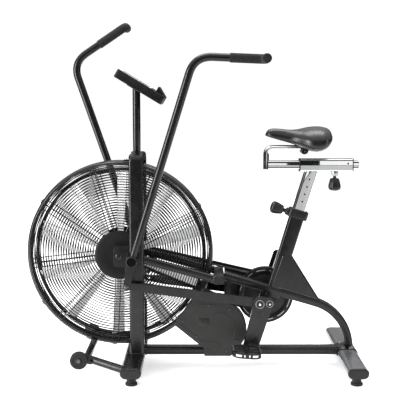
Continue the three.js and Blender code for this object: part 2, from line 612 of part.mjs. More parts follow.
function outerCrank() {
  const headZ = PIN.z + 8;
  const shape = new THREE.Shape();
  shape.absarc(PIN.x - 7, headZ, 17, rad(196), rad(90), true);
  shape.absarc(CRANK.x + 1, headZ, 17, rad(90), rad(-17), true);
  shape.absarc(PEDAL.x + 32, PEDAL.z + 3, 19, rad(-17), rad(-90), true);
  shape.absarc(PEDAL.x + 9, PEDAL.z + 2, 20, rad(-90), rad(-164), true);
  const plate = extrudeY(shape, -150, -136.5, 6);
  const spindle = cylinderY(SHAFT.spindle, PEDAL.x, PEDAL.z, -PEDAL_DECK.y - 54, -145);
  return join(cut(plate, cylinderY(SHAFT.pin + GAP, PIN.x, PIN.z, -160, -120)), spindle);
}

function rod() {
  const dx = ROD.frontX - PIN.x;
  const dz = ROD.frontZ - PIN.z;
  const length = Math.hypot(dx, dz);
  const shape = new THREE.Shape();
  shape.absarc(0, 0, ROD.half, rad(-90), rad(90));
  shape.lineTo(-length + 60, ROD.half);
  shape.absarc(-length, 0, ROD.eye, rad(90), rad(270));
  shape.lineTo(-length + 60, -ROD.half);
  const bar = extrudeY(shape, -ROD.outer, -ROD.inner);
  const bore = cylinderY(SHAFT.pin + GAP, 0, 0, -150, -100);
  const eye = cylinderY(5, -length, 0, -150, -100, 16);
  return cut(bar, bore, eye).rotateY(Math.atan2(dz, -dx)).translate(PIN.x, 0, PIN.z);
}

function pedal(sign) {
  const { y, length, width, corner, half } = PEDAL_DECK;
  const tread = extrudeZ(roundedRect(0, 0, width, length, corner), -half, half);
  const windows = [-32, 32].map((x) => extrudeZ(roundedRect(x, 0, 20, 66, 8), -20, 20, 3));
  const barrel = cylinderY(half, 0, 0, 2 - length / 2, length / 2 - 2);
  const spindleBore = cylinderY(SHAFT.spindle + GAP, 0, 0, -length, length);
  return cut(join(cut(tread, ...windows), barrel), spindleBore).translate(0, sign * y, 0);
}

const rightInner = innerCrank();
const rightOuter = outerCrank();
const rightRod = rod();
piece('right_inner_crank', rightInner, STEEL);
piece('left_inner_crank', halfTurn(rightInner), STEEL);
piece('right_crank_arm', rightOuter, BLACK);
piece('left_crank_arm', halfTurn(rightOuter), BLACK);
piece('right_rod', rightRod, BLACK);

// The left rod keeps its own direction: from the opposite pin to the left lever's end.
const leftPin = { x: 2 * CRANK.x - PIN.x, z: 2 * CRANK.z - PIN.z };
const rodShift = { x: leftPin.x - PIN.x, z: leftPin.z - PIN.z };
piece('left_rod', mirrorY(indexed(rightRod.clone().translate(rodShift.x, 0, rodShift.z))), BLACK);

const rightPedal = piece('right_pedal', pedal(-1), DARK_PLASTIC);
rightPedal.position.set(PEDAL.x, 0, PEDAL.z);
rightPedal.rotation.y = rad(4);
const leftPedal = piece('left_pedal', pedal(1), DARK_PLASTIC);
leftPedal.position.set(2 * CRANK.x - PEDAL.x, 0, 2 * CRANK.z - PEDAL.z);
leftPedal.rotation.y = rad(-72);

// ---------------------------------------------------------------- handle arms and grips
const bendDirection = new THREE.Vector3(Math.sin(rad(ARM.bend)), 0, Math.cos(rad(ARM.bend)));
const armCorner = new THREE.Vector3(0, -ARM.topY, ARM.length);
const gripCorner = armCorner.clone().addScaledVector(bendDirection, ARM.grip).setY(-ARM.topY - 6);
const armPath = filletPath([
  new THREE.Vector3(0, -ARM.y, 0), armCorner, gripCorner,
  gripCorner.clone().setY(-288)], ARM_RADII);

function armTube() {
  const tube = sweep(armPath, 15);
  const sleeve = cylinderY(22, 0, 0, -188, -LEVER.inner);
  const lever = new THREE.Shape();
  lever.absarc(0, 0, 20, rad(180), 0, true);
  lever.absarc(0, -LEVER.radius, 12, 0, rad(-180), true);
  const leverPlate = extrudeY(lever, -LEVER.outer, -LEVER.inner).rotateY(rad(-LEVER.bend));
  return cut(join(tube, sleeve, leverPlate), cylinderY(SHAFT.pivot + GAP, 0, 0, -200, -120));
}

function gripSleeve() {
  const gripStart = armCorner.clone().addScaledVector(bendDirection, 128);
  const region = box(0, 400, -400, 0, -200, 200)
    .rotateY(rad(ARM.bend - 90)).translate(gripStart.x, 0, gripStart.z);
  return cut(overlap(sweep(armPath, 17.5), region), sweep(armPath, 15.3));
}

function placeArm(side, arm, grip) {
  for (const [name, geometry, material] of [[`${side}_arm`, arm, BLACK], [`${side}_grip`, grip, FOAM]]) {
    const mesh = piece(name, geometry, material);
    mesh.position.set(ARM.pivotX, 0, ARM.pivotZ);
    mesh.rotation.y = rad(ARM_LEAN[side]);
  }
}
const rightArm = armTube();
const rightGrip = gripSleeve();
placeArm('right', rightArm, rightGrip);
placeArm('left', mirrorY(rightArm), mirrorY(rightGrip));

// ---------------------------------------------------------------- transport wheels
function wheelBar() {
  const { footX, footY, footZ, frontX, frontY, frontZ, radius } = WHEEL_BAR;
  const path = filletPath([
    new THREE.Vector3(footX, -footY, footZ), new THREE.Vector3(frontX, -frontY, frontZ),
    new THREE.Vector3(frontX, frontY, frontZ), new THREE.Vector3(footX, footY, footZ)], [34, 34]);
  const bar = sweep(path, radius);
  const parts = [bar];
  for (const sign of [-1, 1]) {
    const inner = sign < 0 ? -WHEEL.inner + 1 : WHEEL.inner - 7;
    parts.push(extrudeY(beltShape(WHEEL.x, WHEEL.z, 13, -384, 73, 15), inner, inner + 6));
    const axleEnd = sign * (WHEEL.outer + 4);
    parts.push(cylinderY(
      SHAFT.wheel, WHEEL.x, WHEEL.z, Math.min(sign * 188, axleEnd), Math.max(sign * 188, axleEnd), 16));
    parts.push(box(-395, -378, Math.min(sign * 178, sign * 190), Math.max(sign * 178, sign * 190), 66, 82));
  }
  return cut(join(...parts), frontClear);
}
piece('wheel_bar', wheelBar(), BLACK);
const wheel = (y0, y1) => ringY(WHEEL.radius, SHAFT.wheel + GAP, WHEEL.x, WHEEL.z, y0, y1, 12);
piece('right_wheel', wheel(-WHEEL.outer, -WHEEL.inner), RUBBER);
piece('left_wheel', wheel(WHEEL.inner, WHEEL.outer), RUBBER);

// ---------------------------------------------------------------- console
// Local frame: X down the display's slope, Z out of the display.
const consoleFrame = new THREE.Matrix4()
  .makeRotationY(rad(CONSOLE.tilt))
  .setPosition(CONSOLE.x, 0, CONSOLE.z);
const onConsole = (geometry) => geometry.applyMatrix4(consoleFrame);
const face = CONSOLE.thickness / 2;
const BUTTONS = [['start_button', -40], ['mode_button', 0], ['stop_button', 40]];
const BUTTON = { x: 45, width: 22, depth: 13, travel: 1.5, pocket: 4 };
const LEDGE = { x: 61, top: 4, height: 21 };
const SCREEN = { x0: -88, x1: 31, half: 76, depth: 3 };

function consoleHousing() {
  const slab = onConsole(extrudeZ(roundedRect(0, 0, CONSOLE.length, CONSOLE.width, 16), -face, face, 4));
  const end = CONSOLE.length / 2;
  const ledge = onConsole(extrudeY(polygon([
    [LEDGE.x, face - 2], [end - 1, face - 2], [end - 1, face],
    [LEDGE.x + LEDGE.top, face + LEDGE.height], [LEDGE.x, face + LEDGE.height]]), -80, 80));
  const socket = cylinderZ(20, MAST.x, 0, 1045, 1085);
  const screenPocket = onConsole(box(
    SCREEN.x0, SCREEN.x1, -SCREEN.half, SCREEN.half, face - SCREEN.depth, face + 5));
  const pockets = BUTTONS.map(([, y]) => onConsole(box(
    BUTTON.x - BUTTON.depth / 2 - 0.5, BUTTON.x + BUTTON.depth / 2 + 0.5,
    y - BUTTON.width / 2 - 0.5, y + BUTTON.width / 2 + 0.5, face - BUTTON.pocket, face + 5)));
  const mastRoom = cylinderZ(MAST.radius + GAP, MAST.x, 0, 1000, MAST.top + GAP);
  return cut(join(slab, ledge, socket), screenPocket, ...pockets, mastRoom);
}
piece('console_housing', consoleHousing(), DARK_PLASTIC);
piece('console_screen', onConsole(box(
  SCREEN.x0 + GAP, SCREEN.x1 - GAP, -SCREEN.half + GAP, SCREEN.half - GAP,
  face - SCREEN.depth + GAP, face + 0.5)), GLASS);
for (const [name, y] of BUTTONS) {
  const key = box(BUTTON.x - BUTTON.depth / 2, BUTTON.x + BUTTON.depth / 2,
    y - BUTTON.width / 2, y + BUTTON.width / 2, face - BUTTON.pocket + BUTTON.travel + GAP, face + 2);
  piece(name, onConsole(key), RUBBER);
}

export default group;
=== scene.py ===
"""Air bike: the finer visual model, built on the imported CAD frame.

The pieces' own lengths are in millimetres and become metres when a mesh is made.
+Z is up, the front of the bike points towards -X and the rider's right side towards -Y.
"""

import json
from math import acos, atan2, copysign, cos, degrees, exp, hypot, pi, radians, sin, sqrt, tan

import bmesh
import bpy
from mathutils import Matrix, Vector

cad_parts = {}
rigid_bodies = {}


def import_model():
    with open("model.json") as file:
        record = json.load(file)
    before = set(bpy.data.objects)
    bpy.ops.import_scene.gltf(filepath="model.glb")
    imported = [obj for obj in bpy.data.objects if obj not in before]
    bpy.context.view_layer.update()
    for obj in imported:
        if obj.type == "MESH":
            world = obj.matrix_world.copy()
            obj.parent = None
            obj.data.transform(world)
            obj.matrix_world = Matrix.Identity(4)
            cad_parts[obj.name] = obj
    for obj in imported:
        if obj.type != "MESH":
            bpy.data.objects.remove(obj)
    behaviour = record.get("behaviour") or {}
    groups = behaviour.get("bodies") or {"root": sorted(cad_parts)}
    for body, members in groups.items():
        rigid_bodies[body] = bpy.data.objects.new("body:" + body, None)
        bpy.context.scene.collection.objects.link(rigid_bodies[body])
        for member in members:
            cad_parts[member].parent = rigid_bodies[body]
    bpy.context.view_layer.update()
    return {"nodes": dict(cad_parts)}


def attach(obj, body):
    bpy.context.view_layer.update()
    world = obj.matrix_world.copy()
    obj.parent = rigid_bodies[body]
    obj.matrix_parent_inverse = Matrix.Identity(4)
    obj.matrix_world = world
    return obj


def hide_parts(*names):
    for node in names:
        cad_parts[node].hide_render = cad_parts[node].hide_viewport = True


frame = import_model()
NODES = frame["nodes"]
MM = 0.001
SIDES = (("right", -1), ("left", 1))

# ---- dimensions shared with the CAD, in millimetres and degrees
FAN = Vector((-284, 0, 450))
ROTOR_RING = 326
ROTOR_RING_Y = 20
BLADES = 10
BLADE_PHASE = 16
BLADE_PITCH = 40
GUARD_RADIUS = 363
GUARD_FACE = 58
HUB_PLATE = 95
WIRE = 1.8
RIB_PAIRS = 9
RIB_PHASE = 27
STABILIZER_Z = 53
STABILIZER_HALF = 291
FRONT_X = -226
REAR_X = 604.5
FOOT_Y = 255
KEEL_Z = 60.5
WELD = 2.2
UPRIGHT_X = -214.5
LEG_TOP = 812
MAST = Vector((-217, 0, 0))
CRANK = Vector((287, 0, 268))
PIN_THROW = (35.5, 163)
PEDAL_THROW = (175, -120)
PEDAL_Y = 230
PEDAL_TURN = {"right": 4, "left": -72}
ARM_PIVOT = Vector((-226.7, 0, 446.6))
ARM_LEAN = {"right": 17.2, "left": -19.2}
ARM_LENGTH = 789
ARM_RADII = (86, 26)
ARM_BEND = 75.2
GRIP_REACH = 256
GRIP_START = 128
LEVER = 105
LEVER_BEND = 4.5
SEAT_FOOT = Vector((405, 0, 595))
SEAT_TILT = 17
KNOB_UP = 6
SLIDER_Z = 794
BRACKET_Z = 859.6
CLAMP = Vector((428.5, 0, 850))
SLIDE_KNOB_X = 549
CONSOLE = Vector((-199.7, 0, 1092.4))
CONSOLE_TILT = 31
DISPLAY_X = -28.5
WHEEL = Vector((-425.5, 0, 77.5))
CHAIN_PITCH = 12.7
CHAINRING = (72.8, 36)
SPROCKET = (24.3, 12)
CHAIN_Y = 67
STAY_TILT = 16.46
STAY_START = Vector((121.6, 0, 359.4))
STAY_BEND = Vector((428.4, 0, 75.9))
STAY_RADIUS = 185
STAY_BEND_END = 7.0
STAY_HALF = 16
GUSSET_LOW = 309
GUSSET_HIGH = 432
CHEEK_REACH = 37
CROSS = (101, 359)


def polar(radius, degrees):
    """A point in the X-Z plane, at that angle up from +X."""
    angle = radians(degrees)
    return Vector((radius * cos(angle), 0, radius * sin(angle)))


PIN = CRANK + polar(*PIN_THROW)
PEDAL = CRANK + polar(*PEDAL_THROW)


# ---- outlines and lines
def circle(radius, sides):
    """Outline points of a circle about the origin."""
    return [(radius * cos(2 * pi * i / sides), radius * sin(2 * pi * i / sides))
            for i in range(sides)]


def rounded_rect(width, height, radius, steps):
    """Outline points, anticlockwise, centred on the origin."""
    points = []
    for sx, sy, start in ((1, 1, 0), (-1, 1, 90), (-1, -1, 180), (1, -1, 270)):
        for i in range(steps + 1):
            corner = polar(radius, start + 90 * i / steps)
            points.append((sx * (width / 2 - radius) + corner.x, sy * (height / 2 - radius) + corner.z))
    return points


def shifted(outline, x, z, size=1.0):
    """An outline about the origin, made larger or smaller and moved to (x, z)."""
    return [(x + u * size, z + v * size) for u, v in outline]


def hull(ax, az, ra, bx, bz, rb, steps=14):
    """The outline of a belt round two circles."""
    direction = atan2(bz - az, bx - ax)
    lean = acos(max(-1, min(1, (ra - rb) / hypot(bx - ax, bz - az))))
    points = []
    for i in range(steps + 1):
        angle = direction + lean + (2 * pi - 2 * lean) * i / steps
        points.append((ax + ra * cos(angle), az + ra * sin(angle)))
    for i in range(steps + 1):
        angle = direction - lean + 2 * lean * i / steps
        points.append((bx + rb * cos(angle), bz + rb * sin(angle)))
    return points


def fillet(corners, radii, steps):
    """A line of points through corners, with each inner corner rounded."""
    corners = [Vector(c) for c in corners]
    points = [corners[0]]
    for i in range(1, len(corners) - 1):
        back = (corners[i - 1] - corners[i]).normalized()
        ahead = (corners[i + 1] - corners[i]).normalized()
        trim = radii[i - 1] / tan(back.angle(ahead) / 2)
        start = corners[i] + back * trim
        end = corners[i] + ahead * trim
        for j in range(steps + 1):
            t = j / steps
            points.append(start * (1 - t) ** 2 + corners[i] * (2 * t * (1 - t)) + end * t ** 2)
    points.append(corners[-1])
    return points


def line_length(points):
    """The length of a line of points."""
    return sum((b - a).length for a, b in zip(points, points[1:]))


def along(points, wanted):
    """The point at a distance along a line of points."""
    for a, b in zip(points, points[1:]):
        step = (b - a).length
        if wanted <= step:
            return a.lerp(b, wanted / step)
        wanted -= step
    return points[-1]


def cut_line(points, start):
    """The part of a line of points that lies beyond a distance along it."""
    walked = 0.0
    for i in range(1, len(points)):
        step = (points[i] - points[i - 1]).length
        if walked + step > start:
            return [points[i - 1].lerp(points[i], (start - walked) / step)] + points[i:]
        walked += step
    return points[-2:]


def resample(points, count):
    """The same line with evenly spaced points."""
    total = line_length(points)
    return [along(points, total * i / (count - 1)) for i in range(count)]


# ---- solids: each is (vertices, faces)
def loft(rings, closed=False):
    """A skin over rings that have the same number of points, capped unless it closes on itself."""
    count = len(rings[0])
    verts = [point for ring in rings for point in ring]
    faces = []
    for i in range(len(rings) if closed else len(rings) - 1):
        a = i * count
        b = (i + 1) % len(rings) * count
        faces += [[a + j, a + (j + 1) % count, b + (j + 1) % count, b + j] for j in range(count)]
    if not closed:
        last = (len(rings) - 1) * count
        faces += [list(range(count)), [last + j for j in range(count)]]
    return verts, faces


def stacked(levels, axis="Z"):
    """Rings for loft from (outline, height) pairs, each height measured along the axis."""
    spot = "XYZ".index(axis)
    return [[(*point[:spot], height, *point[spot:]) for point in outline] for outline, height in levels]


def rounded_levels(width, height, radius, steps, insets):
    """Levels of a rounded rectangle from (height, inset) pairs, drawn in by each inset."""
    return [(rounded_rect(width - 2 * inset, height - 2 * inset, radius - inset, steps), z)
            for z, inset in insets]


def sized_levels(outline, x, z, sizes):
    """Levels of an outline about (x, z) from (height, size) pairs."""
    return [(shifted(outline, x, z, size), height) for height, size in sizes]


def bar(outline, low, high, axis):
    """Extrudes an outline from low to high along an axis."""
    return loft(stacked(((outline, low), (outline, high)), axis))


def prism(outline, low, high):
    """Extrudes an (x, z) outline from low to high along Y."""
    return bar(outline, low, high, "Y")


def sweep(points, section, closed=False, up=Vector((0, 1, 0)), scale=None):
    """A section carried along a line of points without twist; scale gives each ring its size."""
    points = [Vector(p) for p in points]
    rings = []
    side = None
    for i, point in enumerate(points):
        before = points[i - 1] if closed or i > 0 else point
        after = points[(i + 1) % len(points)] if closed or i < len(points) - 1 else point
        tangent = (after - before).normalized()
        reference = up if side is None else side
        side = (reference - tangent * reference.dot(tangent)).normalized()
        other = tangent.cross(side)
        size = scale[i] if scale else 1
        rings.append([point + side * (u * size) + other * (v * size) for u, v in section])
    return loft(rings, closed)


def lathe(profile, centre=Vector(), axis="Y", steps=40, closed=False):
    """Turns (along, radius) pairs about an axis; closed joins the last pair to the first."""
    turn = {"X": Matrix.Rotation(radians(-90), 3, "Z"), "Y": Matrix.Identity(3),
            "Z": Matrix.Rotation(radians(90), 3, "X")}[axis]
    rings = []
    for i in range(steps):
        angle = 2 * pi * i / steps
        rings.append([Vector(centre) + turn @ Vector((r * cos(angle), y, r * sin(angle)))
                      for y, r in profile])
    verts, faces = loft(rings, closed=True)
    if not closed:
        count = len(profile)
        faces = [f for f in faces if not ({f[0] % count, f[1] % count} == {0, count - 1} and count > 2)]
    return verts, faces


def turned(low, high, radius, edge, bore=0.0):
    """The lathe profile of a disc or rod with softened edges, and with a bore if one is given."""
    soft = 0.3 * edge
    return [(low, bore), (low, radius - edge), (low + soft, radius - soft), (low + edge, radius),
            (high - edge, radius), (high - soft, radius - soft), (high, radius - edge), (high, bore)]


def bead(ring):
    """A weld bead: a rope with even ripples, laid along a closed line."""
    points = [Vector(point) for point in ring]
    line = resample(points + [points[0]], 61)[:-1]
    return sweep(line, circle(WELD, 6), closed=True, scale=[1 + 0.16 * (i % 2) for i in range(60)])


# ---- places
def placed(centre, turn=0.0):
    """Moves a part built about the Y axis to a centre, turned about Y."""
    return Matrix.Translation(Vector(centre)) @ Matrix.Rotation(radians(turn), 4, "Y")


def mirrored(sign):
    """Swaps left and right when the sign is negative."""
    return Matrix.Scale(sign, 4, (0, 1, 0))


def moved(part, place):
    """The part with its vertices carried to a place."""
    verts, faces = part
    return [place @ Vector(v) for v in verts], faces


def both(*parts):
    """Parts drawn on the left side, mirrored to the right and as they are."""
    return [moved(part, mirrored(side)) for side in (-1, 1) for part in parts]


# ---- objects
def add_bevel(obj, width, segments):
    bevel = obj.modifiers.new("soft_edges", "BEVEL")
    bevel.width = width * MM
    bevel.segments = segments
    bevel.limit_method = "ANGLE"
    bevel.angle_limit = radians(30)
    bevel.harden_normals = True


def piece(name, parts, slot, replaces=(), body="frame", bevel=None, material=None, place=Matrix()):
    """Makes one object of the parts, moved to its place, gives it its finish and hangs it on its body."""
    verts = []
    faces = []
    for part_verts, part_faces in parts:
        faces += [[len(verts) + i for i in face] for face in part_faces]
        verts += [(place @ Vector(v)) * MM for v in part_verts]
    mesh = bpy.data.meshes.new(name)
    mesh.from_pydata(verts, [], faces)
    welded = bmesh.new()
    welded.from_mesh(mesh)
    bmesh.ops.remove_doubles(welded, verts=welded.verts, dist=0.002 * MM)
    bmesh.ops.recalc_face_normals(welded, faces=welded.faces)
    welded.to_mesh(mesh)
    welded.free()
    obj = bpy.data.objects.new(name, mesh)
    bpy.context.scene.collection.objects.link(obj)
    mesh.materials.append(material or FINISH[slot])
    mesh.shade_smooth()
    mesh.set_sharp_from_angle(angle=radians(35))
    if bevel:
        add_bevel(obj, *bevel)
    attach(obj, body)
    if replaces:
        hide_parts(*replaces)
    return obj


def finish_node(name, slot, bevel):
    """Gives a CAD node its material, softened edges and even shading."""
    obj = NODES[name]
    obj.data.materials.clear()
    obj.data.materials.append(FINISH[slot])
    if "custom_normal" in obj.data.attributes:
        obj.data.attributes.remove(obj.data.attributes["custom_normal"])
    obj.data.shade_smooth()
    weld = obj.modifiers.new("weld", "WELD")
    weld.merge_threshold = 0.01 * MM
    add_bevel(obj, bevel, 2)
    obj.modifiers["soft_edges"].harden_normals = False
    normals = obj.modifiers.new("even_shading", "WEIGHTED_NORMAL")
    normals.weight = 80


# ---- materials
def add_node(tree, kind, values, sources):
    """Adds a shader node, sets the inputs in values and links the outputs in sources to its inputs."""
    node = tree.nodes.new(f"ShaderNode{kind}")
    for socket, value in values.items():
        node.inputs[socket].default_value = value
    for socket, output in sources.items():
        tree.links.new(output, node.inputs[socket])
    return node


class Finish:
    """A Principled material with a few ways to add surface detail, in object coordinates."""

    def __init__(self, name, color, roughness, metallic=0.0, **sockets):
        self.material = bpy.data.materials.new(name)
        self.material.use_nodes = True
        self.tree = self.material.node_tree
        self.inputs = self.tree.nodes["Principled BSDF"].inputs
        self.color = color
        self.roughness = roughness
        values = {"Base_Color": (*color, 1), "Roughness": roughness, "Metallic": metallic, **sockets}
        for socket, value in values.items():
            self.inputs[socket.replace("_", " ")].default_value = value
        self.place = add_node(self.tree, "TexCoord", {}, {}).outputs["Object"]
        self.height = None

    def stretched(self, scale):
        return add_node(self.tree, "Mapping", {"Scale": scale}, {"Vector": self.place}).outputs["Vector"]

    def noise(self, scale, detail, place=None):
        values = {"Scale": scale, "Detail": detail}
        return add_node(self.tree, "TexNoise", values, {"Vector": place or self.place}).outputs["Fac"]

    def cells(self, scale, feature="F1"):
        node = add_node(self.tree, "TexVoronoi", {"Scale": scale}, {"Vector": self.place})
        node.feature = feature
        return node.outputs["Distance"]

    def ranged(self, value, low, high, to_low, to_high):
        values = {"From Min": low, "From Max": high, "To Min": to_low, "To Max": to_high}
        return add_node(self.tree, "MapRange", values, {"Value": value}).outputs["Result"]

    def vary_roughness(self, value, spread):
        rough = self.ranged(value, 0.35, 0.65, self.roughness - spread, self.roughness + spread)
        self.tree.links.new(rough, self.inputs["Roughness"])

    def vary_color(self, value, other, low=0.4, high=0.65):
        # Inputs 0, 6 and 7 are the share and the two colours, and output 2 is the blend.
        share = self.ranged(value, low, high, 0, 1)
        mix = add_node(self.tree, "Mix", {6: (*self.color, 1), 7: (*other, 1)}, {0: share})
        mix.data_type = "RGBA"
        self.tree.links.new(mix.outputs[2], self.inputs["Base Color"])

    def bump(self, value, strength, depth):
        """Adds a layer of relief; depth is in millimetres."""
        sources = {"Height": value}
        if self.height is not None:
            sources["Normal"] = self.height
        node = add_node(self.tree, "Bump", {"Strength": strength, "Distance": depth * MM}, sources)
        self.height = node.outputs["Normal"]
        self.tree.links.new(self.height, self.inputs["Normal"])


DULL = {"Specular_IOR_Level": 0.3}


def powder_coat(name, color, roughness, other, metallic=0.0, **sockets):
    finish = Finish(name, color, roughness, metallic, **sockets)
    finish.vary_color(finish.noise(9, 4), other)
    finish.vary_roughness(finish.noise(30, 4), 0.06)
    finish.bump(finish.noise(520, 2), 0.05, 0.03)
    return finish.material


def moulded(name, color, roughness, other, grain=1400, depth=0.08, **sockets):
    finish = Finish(name, color, roughness, **sockets)
    finish.vary_color(finish.noise(14, 3), other)
    finish.vary_roughness(finish.noise(60, 3), 0.05)
    finish.bump(finish.cells(grain), 0.35, depth)
    return finish.material


def brushed(name, color, roughness, direction, other):
    finish = Finish(name, color, roughness, 1.0)
    streaks = finish.noise(1500, 2, finish.stretched(direction))
    finish.vary_color(finish.noise(40, 3), other)
    finish.vary_roughness(streaks, 0.08)
    finish.bump(streaks, 0.25, 0.02)
    return finish.material


def scaled(color, share):
    return tuple(share * c for c in color)


chrome = Finish("chrome", (0.88, 0.885, 0.89), 0.03, 1.0)
chrome.vary_color(chrome.noise(9, 3), scaled(chrome.color, 0.94))
chrome.vary_roughness(chrome.noise(18, 5), 0.012)

# The blade metal glows faintly white: painted light that lifts the blades to a lit grey without a lamp.
glowing_sheet_metal = Finish("fan_metal", (0.88, 0.885, 0.89), 0.5, 0.15, Emission_Color=(1, 1, 1, 1),
                     Emission_Strength=0.09)
glowing_sheet_metal.vary_color(glowing_sheet_metal.cells(60), scaled(glowing_sheet_metal.color, 0.88), 0.2, 0.7)
glowing_sheet_metal.vary_roughness(glowing_sheet_metal.noise(25, 3), 0.07)
glowing_sheet_metal.bump(glowing_sheet_metal.noise(8, 2), 0.15, 0.6)

foam = Finish("foam", (0.006, 0.006, 0.0062), 0.85, **DULL)
foam.vary_color(foam.noise(900, 2), scaled(foam.color, 2.2), 0.4, 0.7)
foam.bump(foam.cells(1100), 0.7, 0.25)
foam.bump(foam.noise(70, 3), 0.35, 0.5)

vinyl = Finish("saddle_skin", (0.0042, 0.0042, 0.0045), 0.34, Coat_Weight=0.12, Coat_Roughness=0.22, **DULL)
vinyl.vary_color(vinyl.noise(25, 3), scaled(vinyl.color, 1.5))
vinyl.vary_roughness(vinyl.noise(40, 3), 0.05)
vinyl.bump(vinyl.cells(620, "DISTANCE_TO_EDGE"), 0.12, 0.06)
vinyl.bump(vinyl.noise(120, 3), 0.08, 0.08)

glass = Finish("screen_glass", (0.035, 0.04, 0.04), 0.09, Coat_Weight=0.6, Coat_Roughness=0.03)
glass.vary_roughness(glass.noise(22, 3), 0.03)
glass.bump(glass.noise(200, 2), 0.03, 0.05)

FINISH = {
    "black_paint": powder_coat("black_paint", (0.0055, 0.0055, 0.0058), 0.24,
                               (0.0075, 0.0075, 0.008), **DULL),
    "silver_paint": powder_coat("silver_paint", (0.165, 0.168, 0.176), 0.22, (0.20, 0.203, 0.212), 0.6),
    "cap_plastic": moulded("cap_plastic", (0.005, 0.005, 0.0053), 0.38, (0.007, 0.007, 0.0073), **DULL),
    "cover_plastic": moulded("cover_plastic", (0.010, 0.010, 0.0095), 0.42,
                             (0.013, 0.013, 0.0122), **DULL),
    "rubber": moulded("rubber", (0.007, 0.007, 0.007), 0.65, (0.010, 0.010, 0.010), 900, 0.12, **DULL),
    "foam": foam.material,
    "chrome": chrome.material,
    "steel": brushed("steel", (0.34, 0.34, 0.35), 0.3, (0.05, 1, 1), (0.29, 0.29, 0.30)),
    "fan_metal": glowing_sheet_metal.material,
    "saddle_skin": vinyl.material,
    "screen_glass": glass.material,
}
# Near-black with almost no shine: painted shade standing in for the inside of holes in the seat post and
# slider, and the pivot plugs' own black.
BLACK_CAP_AND_HOLE_SHADE = powder_coat("black_cap_and_hole_shade", (0.002, 0.002, 0.002), 0.8, (0.003, 0.003, 0.003),
                        Specular_IOR_Level=0.05)
DARK_STEEL = brushed("dark_steel", (0.10, 0.10, 0.105), 0.3, (0.05, 1, 1), (0.07, 0.07, 0.072))
# A darker, duller black: the hub plates' and rivets' own matte black, and painted shade on the gusset's rear
# flange.
MATTE_BLACK_AND_FLANGE_SHADE = powder_coat("matte_black_and_flange_shade", (0.0042, 0.0042, 0.0044), 0.55, (0.0058, 0.0058, 0.006),
                         Specular_IOR_Level=0.18)
SLATE_STEEL = brushed("slate_steel", (0.34, 0.34, 0.35), 0.25, (1, 1, 0.05), (0.28, 0.28, 0.29))
BRIGHT_STEEL = brushed("bright_steel", (0.72, 0.72, 0.73), 0.22, (0.05, 1, 1), (0.62, 0.62, 0.63))
PALE_TRIM = powder_coat("pale_trim", (0.80, 0.80, 0.80), 0.5, (0.74, 0.74, 0.74), **DULL)
# A mid grey for thin ropes on black edges: painted highlight where light catches the gusset's edges.
EDGE_HIGHLIGHT_GREY = powder_coat("painted_edge_highlight", (0.11, 0.11, 0.112), 0.4, (0.06, 0.06, 0.062), **DULL)
BRIGHT_LINE = powder_coat("bright_line", (0.42, 0.41, 0.38), 0.35, (0.36, 0.35, 0.33), 0.3)

# ---- CAD nodes that keep their shape
for slot, bevel, kept in (
        ("black_paint", 1.2, ("bottom_bracket", "right_rod", "left_rod", "right_crank_arm",
                              "left_crank_arm")),
        ("cover_plastic", 1.2, ("chain_guard", "side_cover")),
        ("black_paint", 0.8, ("right_pivot_stub", "left_pivot_stub", "fan_axle")),
        ("steel", 0.8, ("crank_axle", "right_inner_crank", "left_inner_crank"))):
    for node in kept:
        finish_node(node, slot, bevel)


# ---- frame tubes
def oval(x, grow=0.0, steps=8):
    """The stabilizer's section with its middle at x, drawn larger or smaller all round."""
    return shifted(rounded_rect(78 + 2 * grow, 40 + 2 * grow, 19.9 + grow, steps), x, STABILIZER_Z)


for end, x, slot in (("front", FRONT_X, "black_paint"), ("rear", REAR_X, "silver_paint")):
    tube = prism(oval(x, steps=10), -STABILIZER_HALF, STABILIZER_HALF)
    piece(f"{end}_stabilizer_tube", [tube], slot, [f"{end}_stabilizer"])

keel_outline = shifted(rounded_rect(50, 33, 12, 6), 0, KEEL_Z)
piece("base_tube_body", [bar(keel_outline, -200, 580, "X")], "black_paint", ["base_tube"])
welds = [bead(ring) for ring in stacked([(keel_outline, x) for x in (-186.2, 564.7)], "X")]


def bridge_outline(inset):
    """The top bridge seen from the front, drawn in by inset."""
    half = 110 - inset
    top = 842 - inset
    radius = 26
    points = [(-half, LEG_TOP), (half, LEG_TOP)]
    for side, first in ((1, 0), (-1, 90)):
        for i in range(9):
            corner = polar(radius, first + 90 * i / 8)
            points.append(((half - radius) * side + corner.x, top - radius + corner.z))
    return points


for label, side in SIDES:
    leg_outline = shifted(rounded_rect(56, 36, 11, 6), UPRIGHT_X, side * 92)
    leg = bar(leg_outline, 60, LEG_TOP, "Z")
    piece(f"{label}_fork_leg", [leg], "black_paint", [f"{label}_upright"])
    plate = prism(shifted(rounded_rect(78, 82, 16, 6), FAN.x + 20, FAN.z), 84, 92)
    piece(f"{label}_axle_plate", [plate], "black_paint", bevel=(1.2, 2), place=mirrored(side))
    welds.append(bead(stacked([(leg_outline, 74.5)])[0]))

bridge_edge = []
for i in range(7):
    lean = radians(15 * i)
    bridge_edge.append((28 - 12 * (1 - sin(lean)), 12 * (1 - cos(lean))))
bridge_levels = [(-x, inset) for x, inset in bridge_edge[::-1]] + bridge_edge
bridge = loft(stacked([(bridge_outline(inset), UPRIGHT_X + x) for x, inset in bridge_levels], "X"))
piece("top_bridge_cover", [bridge], "black_paint", ["top_bridge"])

mast = [lathe(turned(838, 1086, 15, 0.6), MAST, "Z", 36),
        lathe([(841, 0), (841, 24), (843, 24), (845.5, 20), (847, 16), (847, 0)], MAST, "Z", 36)]
piece("mast_tube", mast, "black_paint", ["mast"])

